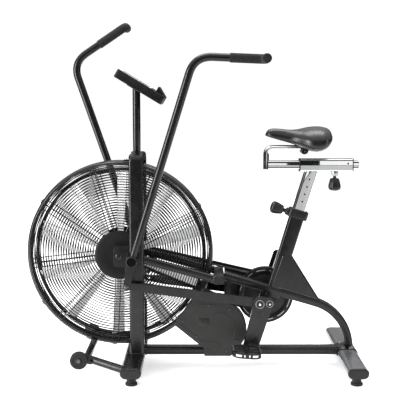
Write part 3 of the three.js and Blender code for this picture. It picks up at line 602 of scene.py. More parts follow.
for label, side in SIDES:
    stay = sweep([(-190, side * 90, 439), (84, side * 90, 362.1)], rounded_rect(28, 29, 7, 5))
    piece(f"{label}_side_stay_tube", [stay], "black_paint", [f"{label}_side_stay"])
    for x, z in ((-186.3, 438), (80.6, 363.1)):
        weld_outline = shifted(rounded_rect(28.4, 29.6, 7, 5), side * 90, z)
        welds.append(bead(stacked([(weld_outline, x)], "X")[0]))

cross_tube = prism(shifted(rounded_rect(40, 32, 7, 5), *CROSS), -101, 101)
piece("cross_tube_body", [cross_tube], "black_paint", ["cross_tube"])
for label, side in SIDES:
    lid = prism(shifted(rounded_rect(38.6, 30.6, 6.4, 5), *CROSS), 99.5, 104)
    piece(f"{label}_cross_lid", [lid], "cap_plastic", bevel=(1.2, 3), place=mirrored(side))
piece("weld_beads", welds, "black_paint")


# ---- wire guards
def guard_ring(radius, y):
    profile = [(y + v, radius + u) for u, v in circle(WIRE, 6)]
    return lathe(profile, FAN, steps=96, closed=True)


def rib_line(offset, side):
    """A rib wire from the hub plate over the shoulder to the rim, before it is turned."""
    depth = side * (GUARD_FACE - 3 * WIRE)
    inner = sqrt((HUB_PLATE - 3) ** 2 - offset ** 2)
    corners = [(inner, depth, offset), (332, depth, offset), (351, side * 36, offset),
               (GUARD_RADIUS - 11, side * 20, offset)]
    return fillet(corners, (18, 14), 4)


def guard(label, side):
    def sunk(profile):
        """Turns (depth below the guard's face, radius) pairs into a lathe profile."""
        return [(side * (GUARD_FACE - depth), radius) for depth, radius in profile]

    wires = [guard_ring(HUB_PLATE + 8 + 10 * i, side * (GUARD_FACE - WIRE)) for i in range(24)]
    wires += [guard_ring(radius, side * y) for radius, y in ((341, 51), (346.5, 44), (350.5, 35))]
    for i in range(RIB_PAIRS):
        turn = placed(FAN, -(RIB_PHASE + 360 * i / RIB_PAIRS))
        wires += [moved(sweep(rib_line(offset, side), circle(1.9, 6)), turn) for offset in (-10, 10)]
    piece(f"{label}_guard_wires", wires, "black_paint", [f"{label}_guard"])

    quarter = [polar(1, 90 * i / 8) for i in range(9)]
    rim = [(side * (2 + 30 * p.z), GUARD_RADIUS - 12 + 12 * p.x) for p in quarter]
    rim += [(side * (2 + 28 * p.z), GUARD_RADIUS - 12 + 9.8 * p.x) for p in quarter[::-1]]
    piece(f"{label}_guard_rim", [lathe(rim, FAN, steps=144, closed=True)], "black_paint")

    plate = sunk([(6, 22), (3, 26), (3, 52), (0.8, 58), (0.2, 84), (1.2, 91), (4.4, HUB_PLATE),
                  (6, HUB_PLATE - 1), (3.4, 88), (2.4, 58), (5, 52), (8, 24)])
    piece(f"{label}_hub_plate", [lathe(plate, FAN, steps=72, closed=True)], "cap_plastic",
          material=MATTE_BLACK_AND_FLANGE_SHADE)
    rivet = sunk([(1, 5), (-0.2, 4.2), (-0.2, 0)])
    rivets = [lathe(rivet, FAN + polar(74, 20 + 60 * i), steps=14) for i in range(6)]
    piece(f"{label}_hub_rivets", rivets, "cap_plastic", material=MATTE_BLACK_AND_FLANGE_SHADE)


for label, side in SIDES:
    guard(label, side)

clip_low = GUARD_RADIUS - 9.5
clip_mid = GUARD_RADIUS - 0.3
clip_top = GUARD_RADIUS + 1.5
clip_outline = [(clip_low, -17), (clip_top, -17), (clip_top, 17), (clip_low, 17), (clip_low, 15.2),
                (clip_mid, 15.2), (clip_mid, -15.2), (clip_low, -15.2)]
screw_profile = [(GUARD_RADIUS - 14, 0), (GUARD_RADIUS - 14, 2.4), (clip_top, 2.4), (clip_top, 5),
                 (GUARD_RADIUS + 4.4, 4.6), (GUARD_RADIUS + 5.4, 3), (GUARD_RADIUS + 5.4, 0)]
clip_turns = [placed(FAN, -angle) for angle in (31, 86, 146, 213, 266, 326)]
clips = [moved(bar(clip_outline, -9, 9, "Z"), turn) for turn in clip_turns]
screws = [moved(lathe(screw_profile, axis="X", steps=16), turn) for turn in clip_turns]
piece("guard_clips", clips, "black_paint", bevel=(0.6, 2))
piece("guard_screws", screws, "steel")


# ---- fan rotor
def blade():
    """One sheet blade along +X, wider at the rim, with both long edges folded over."""
    fold = 3.5
    rings = []
    for x, half in ((58, 14), (90, 17), (180, 23), (ROTOR_RING - 6, 31)):
        rings.append([(x, -half, fold), (x, -half + 1, 0), (x, 0, -0.6), (x, half - 1, 0), (x, half, fold),
                      (x, half + 1, fold), (x, half + 0.2, -1.2), (x, 0, -1.8), (x, -half - 0.2, -1.2),
                      (x, -half - 1, fold)])
    return moved(loft(rings), Matrix.Rotation(radians(BLADE_PITCH), 4, "X"))


# The blades take the fan_metal finish, whose faint glow is painted light.
blades = [moved(blade(), placed(FAN, -(BLADE_PHASE + 360 * i / BLADES))) for i in range(BLADES)]
piece("fan_blades", blades, "fan_metal", ["fan_rotor"], "fan")

ring_profile = [(ROTOR_RING_Y + v, ROTOR_RING + u) for u, v in rounded_rect(13, 13, 5, 4)]
piece("fan_ring", [lathe(ring_profile, FAN, steps=144, closed=True)], "black_paint", body="fan")

hub = [lathe([(-48, 8.5), (-48, 17), (-46, 19), (-12, 20), (-7, 26), (-5, 62), (-4, 64), (4, 64), (5, 62),
              (7, 26), (12, 20), (59, 20), (60.5, 18), (60.5, 8.5)], FAN, steps=48, closed=True)]
for i in range(6):
    bolt = FAN + polar(45, 60 * i)
    hub.append(prism(shifted(circle(6, 6), bolt.x, bolt.z), -9.5, 9.5))
piece("fan_hub", hub, "steel", body="fan")


# ---- chain drive
def toothed(radius, teeth, bore):
    """A toothed wheel about the origin."""
    rings = [[], [], [], []]
    for i in range(teeth * 4):
        lift = (-3.4, 2.4, 2.4, -3.4)[i % 4]
        angle = 360 * (i // 4 + (-0.30, -0.12, 0.12, 0.30)[i % 4]) / teeth
        tip = polar(radius + lift, angle)
        root = polar(bore, angle)
        for ring, point, y in zip(rings, (tip, tip, root, root), (-2, 2, 2, -2)):
            ring.append((point.x, y, point.z))
    return loft(rings, closed=True)


def chain_path():
    """Points of the chain's pitch line, one link apart, round both wheels."""
    big, small = CHAINRING[0], SPROCKET[0]
    reach = FAN - CRANK
    direction = degrees(atan2(reach.z, reach.x))
    lean = degrees(acos((big - small) / hypot(reach.x, reach.z)))
    line = [CRANK + polar(big, direction + lean + (360 - 2 * lean) * i / 240) for i in range(241)]
    line += [FAN + polar(small, direction - lean + 2 * lean * i / 80) for i in range(81)]
    line.append(line[0])
    links = 2 * round(line_length(line) / CHAIN_PITCH / 2)
    return resample(line, links + 1)[:-1]


chain = []
links = chain_path()
for i, start in enumerate(links):
    end = links[(i + 1) % len(links)]
    spread = 3.6 if i % 2 else 2.4
    plate = hull(start.x, start.z, 3.9, end.x, end.z, 3.9, 4)
    for side in (-1, 1):
        low = CHAIN_Y + side * spread - 0.5
        chain.append(prism(plate, low, low + 1))
    chain.append(prism(shifted(circle(3.0, 6), start.x, start.z), CHAIN_Y - 2, CHAIN_Y + 2))
piece("chain_links", chain, "steel", ["chain"])

for name, centre, size, body, node, bore in (
        ("chainring_wheel", CRANK, CHAINRING, "crank", "chainring", 44),
        ("fan_sprocket_wheel", FAN, SPROCKET, "fan", "fan_sprocket", 14)):
    middle = centre + Vector((0, CHAIN_Y, 0))
    disc = [(-3, bore * 0.62), (-1.5, bore + 2), (1.5, bore + 2), (3, bore * 0.62), (3, 10.5), (-3, 10.5)]
    wheel = [moved(toothed(*size, bore), Matrix.Translation(middle)), lathe(disc, middle, closed=True)]
    piece(name, wheel, "steel", [node], body)

# The disc behind the crank closes the chain guard on its open side.
guard_back = lathe([(58.6, 24), (58.6, 84), (57.4, 86), (57.4, 89), (55.8, 92), (55.2, 101), (55.8, 110),
                    (58, 113.6), (60.8, 113.6), (60.8, 24)], CRANK, steps=96, closed=True)
piece("chain_guard_back", [guard_back], "cap_plastic")
inlay = lathe([(58.3, 26), (57.9, 27), (57.9, 81), (58.3, 82), (59, 82), (59, 26)], CRANK, steps=72,
              closed=True)
piece("chain_guard_inlay", [inlay], "cover_plastic")
marks = []
for start in range(0, 360, 30):
    rings = []
    for i in range(7):
        rings.append([CRANK + polar(radius, start + 20 * i / 6) + Vector((0, y, 0))
                      for radius, y in ((99, 55.3), (99, 54.95), (102, 54.95), (102, 55.3))])
    marks.append(loft(rings))
piece("chain_guard_marks", marks, "cap_plastic", material=BRIGHT_LINE)


# ---- handle arms
def arm_line():
    """The right arm's corners from its pivot, before they are rounded."""
    corner = Vector((0, -192, ARM_LENGTH))
    tip = corner + polar(GRIP_REACH, 90 - ARM_BEND)
    tip.y = -198
    return [Vector((0, -165, 0)), corner, tip, Vector((tip.x, -288, tip.z))]


def arm(label, side):
    pivot = placed(ARM_PIVOT) @ mirrored(-side)
    place = placed(ARM_PIVOT, ARM_LEAN[label]) @ mirrored(-side)
    body = f"{label}_arm"
    line = fillet(arm_line(), ARM_RADII, 14)
    bent = line_length(fillet(arm_line()[:3], ARM_RADII[:1], 14))
    tube = sweep(cut_line(line[::-1], 8)[::-1], circle(15, 24))
    piece(f"{label}_arm_tube", [tube], "black_paint", [f"{label}_arm"], body, place=place)

    lever_turn = Matrix.Rotation(radians(-LEVER_BEND), 4, "Y")
    boss = [lathe([(-188, 15.3), (-188, 20), (-186.5, 22), (-137, 22), (-135.3, 20.5), (-135.3, 15.3)],
                  closed=True),
            moved(prism(hull(0, 0, 20, 0, -LEVER, 12), -153, -135.3), lever_turn)]
    piece(f"{label}_arm_boss", boss, "black_paint", body=body, bevel=(1.6, 2), place=place)

    eye = place @ lever_turn @ Matrix.Translation((0, 0, -LEVER))
    fixings = [lathe(turned(-155, -153, 10, 0.6), steps=24), prism(circle(6, 6), -159, -154.5)]
    piece(f"{label}_lever_bolt", fixings, "steel", body=body, bevel=(0.5, 2), material=DARK_STEEL, place=eye)

    grip_line = cut_line(line, bent - GRIP_REACH + GRIP_START)
    total = line_length(grip_line)
    middle = [8 + (total - 16) * i / 40 for i in range(41)]
    spots = [0, 0.6, 1.6, 3.2] + middle + [total - d for d in (5.4, 3.2, 1.6, 0.6, 0.1)]
    sizes = [0.90, 0.95, 0.985, 1.0] + [1 + 0.006 * sin(0.21 * d) for d in middle]
    sizes += [0.985, 0.93, 0.80, 0.60, 0.25]
    grip = sweep([along(grip_line, d) for d in spots], circle(17.5, 28), scale=sizes)
    piece(f"{label}_grip_foam", [grip], "foam", [f"{label}_grip"], body, place=place)

    ring = lathe([(-188.2, 15.2), (-188.2, 18.5), (-190, 20), (-195, 20), (-196.5, 18.5), (-196.5, 16),
                  (-192.6, 15.2)], closed=True)
    piece(f"{label}_pivot_ring", [ring], "black_paint", place=pivot)
    plug = lathe([(-192.2, 0), (-192.2, 15.6), (-193.6, 15.2), (-194.4, 12), (-194.6, 0)], steps=36)
    piece(f"{label}_pivot_plug", [plug], "rubber", material=BLACK_CAP_AND_HOLE_SHADE, place=pivot)


for label, side in SIDES:
    arm(label, side)

# ---- crank bolts
for label, side in SIDES:
    turn = placed(CRANK, 0 if side < 0 else 180) @ mirrored(-side)
    bolts = []
    rings = []
    bosses = []
    for centre, size in ((PIN - CRANK, 1.0), (Vector((3, 0, PIN.z + 1 - CRANK.z)), 0.8)):
        boss = [(-150, 0), (-150, 16 * size), (-151.6, 15.6 * size), (-152.2, 14.4 * size),
                (-152.2, 12.2 * size), (-151, 11.8 * size), (-151, 0)]
        rope = [(-152 + v, 15.2 * size + u) for u, v in circle(1.5 * size, 8)]
        bolt = [(-151, 0), (-151, 6 * size), (-154, 6 * size), (-156.5, 4.6 * size), (-157.4, 2 * size),
                (-157.5, 0)]
        bosses.append(lathe(boss, centre, steps=36))
        rings.append(lathe(rope, centre, closed=True))
        bolts.append(lathe(bolt, centre, steps=24))
    piece(f"{label}_crank_bosses", bosses, "black_paint", body="crank", place=turn)
    piece(f"{label}_crank_rings", rings, "steel", body="crank", place=turn)
    piece(f"{label}_crank_bolts", bolts, "steel", body="crank", material=BRIGHT_STEEL, place=turn)
    start = PIN - CRANK + Vector((4, -150.2, -18))
    end = PEDAL - CRANK + Vector((20, -150.2, 30))
    ribs = []
    for shift in (-16, 16):
        across = Vector((0.95, 0, 0.3)) * shift
        ribs.append(sweep([start + across, end + across], circle(0.9, 6)))
    piece(f"{label}_crank_ribs", ribs, "black_paint", body="crank", place=turn)


# ---- pedals
def pedal(label, side):
    centre = CRANK + (PEDAL - CRANK) * (1 if side < 0 else -1)
    place = placed(centre, PEDAL_TURN[label]) @ Matrix.Translation((0, side * PEDAL_Y, 0))
    deck = []

    for low, high in ((-9, -4.5), (4.5, 9)):
        insets = ((low, 0.8), (low + 0.8, 0), (high - 0.8, 0), (high, 0.8), (high, 6), (low, 6))
        deck.append(loft(stacked(rounded_levels(108, 116, 34, 8, insets)), closed=True))
    for x, y in ((-45, 42), (-16, 55), (16, 55), (45, 42)):
        deck.append(bar(shifted(rounded_rect(9, 5, 1.5, 2), x, side * y), -6, 6, "Z"))
    for y in (-32, 2):
        deck.append(bar(shifted(rounded_rect(9, 9, 2, 2), side * y, 0), -50, 50, "X"))
    barrel = [(-57, 8), (-57, 12), (-55, 12.8), (2, 12.8), (5, 11.5), (6, 8), (6, 0)]
    deck.append(lathe([(side * depth, radius) for depth, radius in barrel], steps=28))
    teeth = [(-44 + 6 * i, 9 if i % 2 else 12) for i in range(12)]
    wall = [(22, -5), (22, 5)] + teeth[::-1] + [(y, -z) for y, z in teeth]
    for x in (-50, 50):
        deck.append(bar([(side * y, z) for y, z in wall], x - 2.4, x + 2.4, "X"))
    piece(f"{label}_pedal_deck", deck, "cap_plastic", [f"{label}_pedal"], f"{label}_pedal", place=place)

    studs = []
    for x in (-32, 32):
        for y in (-32, 2):
            for z in (-1, 1):
                studs.append(lathe([(z * 4, 0), (z * 4, 2.2), (z * 8.4, 1.8), (z * 9, 0)],
                                   Vector((x, side * y, 0)), "Z", 10))
    piece(f"{label}_pedal_studs", studs, "steel", body=f"{label}_pedal", material=DARK_STEEL, place=place)


for label, side in SIDES:
    pedal(label, side)


# ---- knobs, feet and wheels
def star_knob(low, high):
    """A fluted grip knob along +Z, narrower towards its stem, which comes in at the low end."""
    radius = 24.5
    flutes = 8
    steps = flutes * 6
    rings = []
    for share, wide in ((0, 0.30), (0.02, 0.62), (0.10, 0.74), (0.35, 0.88), (0.62, 1.0), (0.78, 1.0),
                        (0.90, 0.88), (0.97, 0.62), (1.0, 0.30)):
        ring = []
        for i in range(steps):
            angle = 2 * pi * i / steps
            dent = 0.06 * radius * (0.5 + 0.5 * cos(flutes * angle)) * min(1, wide)
            r = radius * wide - dent
            ring.append((r * cos(angle), r * sin(angle), low + share * (high - low)))
        rings.append(ring)
    return loft(rings)


knob_place = placed(SEAT_FOOT, SEAT_TILT) @ Matrix.Translation((0, 0, KNOB_UP)) @ Matrix.Rotation(
    radians(-90), 4, "Y")
height_knob = [star_knob(58.5, 110), lathe(turned(28.4, 64, 7.8, 0.8), axis="Z", steps=24)]
piece("height_knob_grip", height_knob, "cap_plastic", ["height_knob"], "height_knob", place=knob_place)

slide_place = Matrix.Translation((SLIDE_KNOB_X, 0, SLIDER_Z - 17.6)) @ Matrix.Rotation(pi, 4, "X")
slide_knob = [star_knob(34, 83), lathe(turned(0, 36, 5.8, 0.8), axis="Z", steps=24)]
piece("slide_knob_grip", slide_knob, "cap_plastic", ["slide_knob"], "slide_knob", place=slide_place)

for end, x in (("front", FRONT_X), ("rear", REAR_X)):
    for label, side in SIDES:
        foot = lathe([(0, 0), (0, 20), (1.2, 22), (8, 22), (10, 20.5), (12, 17.5), (20, 17), (25, 18),
                      (28, 21), (32.6, 21), (32.6, 0)], Vector((x, side * FOOT_Y, 0)), "Z", 36)
        piece(f"{end}_{label}_foot_pad", [foot], "rubber", [f"{end}_{label}_foot"])
        levels = ((291.3, 0), (291.3, 0.1), (293.5, 0), (295.6, -1.6), (296.4, -5))
        recess = shifted(rounded_rect(52, 18, 8.9, 6), x, STABILIZER_Z)
        cap = [loft(stacked([(oval(x, grow), side * y) for y, grow in levels], "Y")),
               prism(recess, side * 296, side * 296.5)]
        piece(f"{end}_{label}_end_cap", cap, "cap_plastic", [f"{end}_{label}_cap"])

for label, side in SIDES:
    tyre = lathe([(194.2, 6), (194.2, 24), (195.5, 27), (195.5, 31.5), (197, 33), (202, 33), (203, 31.6),
                  (207, 31.6), (208, 33), (213, 33), (214.6, 31.5), (214.6, 27), (215.8, 24), (213.5, 22),
                  (213.5, 12), (215.8, 10), (215.8, 6)], WHEEL, steps=48, closed=True)
    piece(f"{label}_wheel_tyre", [tyre], "rubber", [f"{label}_wheel"], f"{label}_wheel", place=mirrored(side))

foot = Vector((-240, 250, 50))
front = Vector((-400, 170, 76))
bar_corners = [mirrored(-1) @ foot, mirrored(-1) @ front, front, foot]
wheel_bar = sweep(fillet(bar_corners, (34, 34), 10), circle(14.5, 20), up=Vector((0, 0, 1)))
plates = both(prism(hull(WHEEL.x, WHEEL.z, 13, -384, 73, 15), 187, 193))
axles = both(lathe(turned(180, 218, 5, 0.5), WHEEL, steps=20),
             prism(shifted(circle(8.5, 6), WHEEL.x, WHEEL.z), 216.2, 220))
piece("wheel_bar_tube", [wheel_bar], "black_paint", ["wheel_bar"])
piece("wheel_bar_plates", plates, "black_paint", bevel=(1, 2))
piece("wheel_axles", axles, "steel", bevel=(0.5, 2), material=DARK_STEEL)


# ---- seat tube, gusset and collar
seat_place = placed(SEAT_FOOT, SEAT_TILT)
seat_slope = radians(SEAT_TILT)
stay_slope = radians(STAY_TILT)

tube_outer = rounded_rect(56, 46, 8, 5)
tube_inner = rounded_rect(50.8, 40.8, 5, 5)
seat_tube = loft(stacked([(tube_outer, -332), (tube_outer, 18), (tube_inner, 18), (tube_inner, -40)]),
                 closed=True)
piece("seat_tube_body", [seat_tube], "black_paint", ["seat_tube"], bevel=(0.8, 2), place=seat_place)


def rear_x(z):
    """Where the seat tube's rear face is at that height."""
    return SEAT_FOOT.x + (z - SEAT_FOOT.z) * tan(seat_slope) + 28 / cos(seat_slope)


def stay_top(x):
    """The height of the main stay's upper face."""
    return STAY_START.z - (x - STAY_START.x) * tan(stay_slope) + STAY_HALF / cos(stay_slope)


low, high = GUSSET_LOW, GUSSET_HIGH
web = [(rear_x(low) - 2, stay_top(rear_x(low)) - 2), (491, stay_top(491) - 2), (rear_x(high) - 2, high)]
cheek_top = high + 8
front_low = rear_x(low) - CHEEK_REACH
front_high = rear_x(cheek_top) - CHEEK_REACH
cheek = [(front_low, stay_top(front_low) + 2), (488, stay_top(488) + 1), (rear_x(high) - 2, high + 2),
         (rear_x(cheek_top) - 8, cheek_top), (front_high, cheek_top)]
gusset = [prism(web, -15, 15)] + both(prism(cheek, 23.1, 24.7))
piece("seat_gusset", gusset, "black_paint", bevel=(0.6, 2))
# The rear flange takes the darker, duller black: painted shade for the flange that stands in shadow.
flange_line = [(rear_x(high) + 1, 0, high + 3), (493, 0, stay_top(493) - 3)]
flange = sweep(flange_line, rounded_rect(49, 7, 2.5, 3))
piece("seat_gusset_flange", [flange], "black_paint", bevel=(1.2, 2), material=MATTE_BLACK_AND_FLANGE_SHADE)
# Grey ropes along the gusset cheeks' edges: painted highlight along the lit edges.
highlight_ridges = both(sweep([(x, 24.6, z) for x, z in (cheek[4], cheek[0], cheek[1])], circle(1.1, 6)))
piece("seat_gusset_edge_highlight", highlight_ridges, "black_paint", material=EDGE_HIGHLIGHT_GREY)

collar_levels = rounded_levels(78, 62, 15, 6, ((-9, 3), (-7.5, 1.2), (-5, 0.2), (-3, 0), (19, 0), (22, 0.5),
                                               (24.5, 2), (26, 5)))
collar_levels += [(rounded_rect(50.8, 40.8, 5, 6), z) for z in (26, 18.4)]
collar_levels += [(rounded_rect(56.6, 46.6, 8, 6), z) for z in (18.3, -9)]
knob_boss = lathe([(33, 8.3), (33, 17), (44, 15), (48, 13), (49, 12), (49, 8.3)], axis="Z", steps=28,
                  closed=True)
collar = [moved(loft(stacked(collar_levels), closed=True), seat_place), moved(knob_boss, knob_place)]
piece("seat_collar_sleeve", collar, "cap_plastic", ["seat_collar"])

# Dark discs in the post's face: painted shade standing in for the inside of its holes.
post_hole_shade = [lathe([(-20.3, 3.4), (-20.3, 0), (-19.6, 0), (-19.6, 3.4)], Vector((0, 0, z)), steps=16,
                    closed=True) for z in (60, 90, 120, 150)]
piece("post_hole_shade", post_hole_shade, "steel", body="seat_post", material=BLACK_CAP_AND_HOLE_SHADE, place=seat_place)

# ---- side cover details
COVER_Y = -97.1
cover_line = circle(1.1, 6)
trim = []
for radius, first, last in ((99, -34, 60), (62, -60, 118)):
    arc = [Vector((101, COVER_Y, 170)) + polar(radius, first + (last - first) * i / 30) for i in range(31)]
    trim.append(sweep(arc, cover_line))
for corners in (((-48, 190), (40, 118), (92, 118), (104, 108)), ((-30, 214), (30, 266), (92, 263))):
    radii = [12] * (len(corners) - 2)
    trim.append(sweep(fillet([(x, COVER_Y, z) for x, z in corners], radii, 5), cover_line))
badge_sizes = ((-96, 1.0), (-98.4, 1.0), (-99.0, 0.96))
trim.append(loft(stacked(sized_levels(rounded_rect(46, 30, 6, 4), 40, 196, badge_sizes), "Y")))
cover_screws = []
for x, z in ((60, 84), (128, 84), (168, 122), (60, 262), (140, 246), (-40, 200), (14, 138)):
    at = Vector((x, 0, z))
    trim.append(lathe([(-96, 0), (-96, 6.5), (-97.7, 6), (-98, 4.4), (-97.2, 4), (-97.2, 0)], at, steps=24))
    cover_screws.append(lathe([(-97, 0), (-97, 3.8), (-98.6, 3.2), (-99.2, 1.4), (-99.3, 0)], at, steps=16))
piece("side_cover_trim", trim, "cover_plastic")
piece("side_cover_screws", cover_screws, "steel", material=DARK_STEEL)

# ---- main stay
first = 90 - STAY_TILT
stay_line = [STAY_BEND + polar(STAY_RADIUS, first + (STAY_BEND_END - first) * i / 24) for i in range(25)]
stay_line = [STAY_START] + stay_line + [Vector((615, 0, 78))]
stay = sweep(stay_line, rounded_rect(50, 2 * STAY_HALF, 9, 5))
piece("main_stay_tube", [stay], "black_paint", ["main_stay"])


def wrap(radius):
    """One face of the bent plate that holds the rear stabilizer."""
    points = []
    for i in range(13):
        angle = 195 - 210 * i / 12
        corner = polar(radius, angle)
        points.append((REAR_X + (19 if angle < 90 else -19) + corner.x, STABILIZER_Z + corner.z))
    return points


saddle = prism(wrap(23.4) + wrap(20.3)[::-1], -46, 46)
piece("stay_saddle", [saddle], "black_paint", bevel=(0.8, 2))

stay_bolts = []
for y in (-36, 36):
    for x in (REAR_X - 14, REAR_X + 14):
        at = Vector((x, y, STABILIZER_Z + 23))
        stay_bolts.append(lathe(turned(0, 2, 9, 0.5), at, "Z", 20))
        stay_bolts.append(bar(shifted(circle(6.5, 6), at.x, at.y), at.z + 2, at.z + 7, "Z"))
piece("stay_bolts", stay_bolts, "steel", bevel=(0.5, 2))


# ---- seat rail and bracket
def rail_section(width, height, radius, steps, z=SLIDER_Z):
    """A section across the rail, seen from behind."""
    return shifted(rounded_rect(width, height, radius, steps), 0, z)


bracket_line = fillet([(282.6, 0, 778), (282.6, 0, BRACKET_Z), (413, 0, BRACKET_Z)], (27,), 14)
rail = [bar(rail_section(33, 33, 4, 4), 290, 638, "X"), sweep(bracket_line, rounded_rect(33, 21, 9, 6))]
piece("seat_rail_bracket", rail, "chrome", ["seat_rail"], "seat_slide")

slider_outer = rail_section(44, 48, 5, 6)
slider_inner = rail_section(34.2, 34.2, 1.5, 6)
slider_levels = [(slider_outer, 411), (slider_outer, 618), (slider_inner, 618), (slider_inner, 411)]
post_top = (SLIDER_Z - 22 - SEAT_FOOT.z) / cos(seat_slope)
seat_post = [loft(stacked(slider_levels, "X"), closed=True),
             moved(bar(rounded_rect(50, 40, 7, 8), -160, post_top, "Z"), seat_place)]
piece("seat_post_tube", seat_post, "chrome", ["seat_post"], "seat_post")
boss = lathe([(752, 6.4), (752, 12), (754, 13), (769.8, 13), (769.8, 6.4)], Vector((SLIDE_KNOB_X, 0, 0)),
             "Z", 32, closed=True)
piece("slide_boss", [boss], "steel", body="seat_post", material=SLATE_STEEL)

bezel_outer = rail_section(45.4, 49.4, 6, 3)
bezel_inner = rail_section(34.2, 34.2, 2, 3)
bezels = []
for x0, x1 in ((410.2, 414), (614.6, 618.2)):
    bezel_levels = [(bezel_outer, x0), (bezel_outer, x1), (bezel_inner, x1), (bezel_inner, x0)]
    bezels.append(loft(stacked(bezel_levels, "X"), closed=True))
piece("slider_bezels", bezels, "cap_plastic", body="seat_post", bevel=(0.5, 2))
# Dark discs on the slider's sides: painted shade standing in for the inside of small holes.
mark = lathe([(21.9, 0), (21.9, 3.6), (22.3, 3.6), (22.3, 0)], Vector((597, 0, 800)), steps=20)
piece("slider_hole_shade", both(mark), "steel", body="seat_post", material=BLACK_CAP_AND_HOLE_SHADE)

plugs = [bar(rail_section(29, 29, 4, 3), 636.5, 639.6, "X"),
         bar(rail_section(27, 15, 4, 3, BRACKET_Z), 411, 414, "X")]
piece("rail_plug", plugs, "chrome", body="seat_slide", bevel=(0.8, 2))


# ---- saddle
def curve_value(points, x):
    """A smooth value at x through (x, value) points."""
    for i in range(len(points) - 1):
        (x0, v0), (x1, v1) = points[i], points[i + 1]
        if x <= x1:
            t = max(0.0, (x - x0) / (x1 - x0))
            before = points[i - 1] if i else points[i]
            after = points[i + 2] if i + 2 < len(points) else points[i + 1]
            m0 = (v1 - before[1]) / (x1 - before[0]) * (x1 - x0)
            m1 = (after[1] - v0) / (after[0] - x0) * (x1 - x0)
            return ((2 * t ** 3 - 3 * t ** 2 + 1) * v0 + (t ** 3 - 2 * t ** 2 + t) * m0
                    + (3 * t ** 2 - 2 * t ** 3) * v1 + (t ** 3 - t ** 2) * m1)
    return points[-1][1]


# Rows of x, top, bottom and half width.
SADDLE = ((279, 914, 906, 6), (287, 927, 902.5, 17), (300, 933.5, 898, 25), (330, 935, 889, 29),
          (380, 931, 876, 42), (410, 934, 864, 66), (440, 941, 850, 95), (480, 944.5, 846, 105),
          (510, 940, 858, 96), (526, 928, 878, 72), (534, 908, 897, 34))


def saddle_form(x):
    """The saddle's top, bottom and half width at x."""
    return [curve_value([(row[0], row[column]) for row in SADDLE], x) for column in (1, 2, 3)]


def saddle_point(x, angle):
    """A point of the cushion's skin: the station along it, and the angle up from its edge."""
    top, bottom, wide = saddle_form(x)
    deep = top - bottom
    c, s = cos(angle), sin(angle)
    y = wide * copysign(abs(c) ** 0.72, c)
    share = abs(y) / max(wide, 1)
    if s >= 0:
        groove = 3.5 * exp(-(y / 9) ** 2) * min(1, max(0, (x - 310) / 60))
        return x, y, top - deep * (0.42 * share ** 2.6) - groove - (1 - s ** 0.6) * deep * 0.2
    return x, y, bottom + deep * 0.38 * (1 - abs(s) ** 0.55)


cushion = loft([[saddle_point(x, 2 * pi * i / 40) for i in range(40)]
                for x in (279, 282, 287, 293, 300, 312, 326, 342, 360, 378, 396, 412, 428, 444, 460, 476,
                          492, 506, 516, 524, 530, 534)])
saddle_obj = piece("saddle_pad", [cushion], "saddle_skin", ["saddle_cushion"], "seat_slide")
subdivision = saddle_obj.modifiers.new("smooth_form", "SUBSURF")
subdivision.levels = 1
subdivision.render_levels = 1

pan_rings = []
for x in (316, 326, 345, 380, 410, 440, 470, 492, 500):
    top, bottom, wide = saddle_form(x)
    pan_rings.append([(x, 0.62 * wide * u, bottom + 5 + 3.5 * v) for u, v in circle(1, 16)])
clamp = [(-31, 0), (-31, 8), (-32, 9.5), (-32, 12), (-30, 14), (-14, 14), (-13, 15), (13, 15), (14, 14),
         (30, 14), (32, 12), (32, 9.5), (31, 8), (31, 0)]
pan = [loft(pan_rings), lathe(turned(843, 872, 13, 1.2), Vector((429, 0, 0)), "Z", 32), lathe(clamp, CLAMP)]
piece("saddle_pan", pan, "cap_plastic", ["saddle_base"], "seat_slide")
bolt_head = lathe([(31, 0), (31, 6), (33.4, 5.4), (34, 3.6), (34, 0)], CLAMP, steps=24)
piece("saddle_clamp_bolt", both(bolt_head), "steel", body="seat_slide", material=DARK_STEEL)
lift = Vector((0, 0.2, 0))
seam = [Vector(saddle_point(283 + 246 * i / 40, radians(14))) + lift for i in range(41)]
piece("saddle_piping", both(sweep(seam, circle(1.0, 6))), "saddle_skin", body="seat_slide")

# ---- console
console_place = placed(CONSOLE, CONSOLE_TILT)
display_place = console_place @ Matrix.Translation((DISPLAY_X, 0, 0))
case_levels = rounded_levels(206, 180, 10, 6, ((-17, 2), (-16, 0.6), (-15, 0), (15, 0), (16.2, 0.6),
                                               (17, 1.8)))
ledge = [(61, 15), (102, 15), (102, 16.4), (63, 38), (61, 38)]
mount = bar(rounded_rect(44, 70, 8, 4), -20.5, -16, "Z")
case = [loft(stacked(case_levels)), prism(ledge, -80, 80), moved(mount, Matrix.Translation((-26, 0, 0)))]
piece("console_case", case, "cap_plastic", ["console_housing"], bevel=(0.8, 2), place=console_place)
bezel_levels = []
for width, depth, radius, z in ((134, 166, 8, 16.5), (134, 166, 8, 18.2), (133, 165, 7.5, 18.6),
                                (118, 151, 4, 18.6), (118, 151, 4, 16.5)):
    bezel_levels.append((rounded_rect(width, depth, radius, 5), z))
bezel = loft(stacked(bezel_levels), closed=True)
piece("console_bezel", [bezel], "steel", material=PALE_TRIM, place=display_place)
pane = rounded_rect(118, 151, 5, 3)
window = loft(stacked(sized_levels(pane, 0, 0, ((14.3, 1.0), (17.0, 1.0), (17.5, 0.992)))))
piece("console_window", [window], "screen_glass", ["console_screen"], place=display_place)

for name, y in (("start_button", -40), ("mode_button", 0), ("stop_button", 40)):
    sizes = ((14.8, 1.0), (18.2, 1.0), (18.9, 0.94), (19.0, 0.8))
    key = loft(stacked(sized_levels(rounded_rect(13, 22, 4, 4), 45, y, sizes)))
    piece(f"{name}_key", [key], "rubber", [name], name, place=console_place)

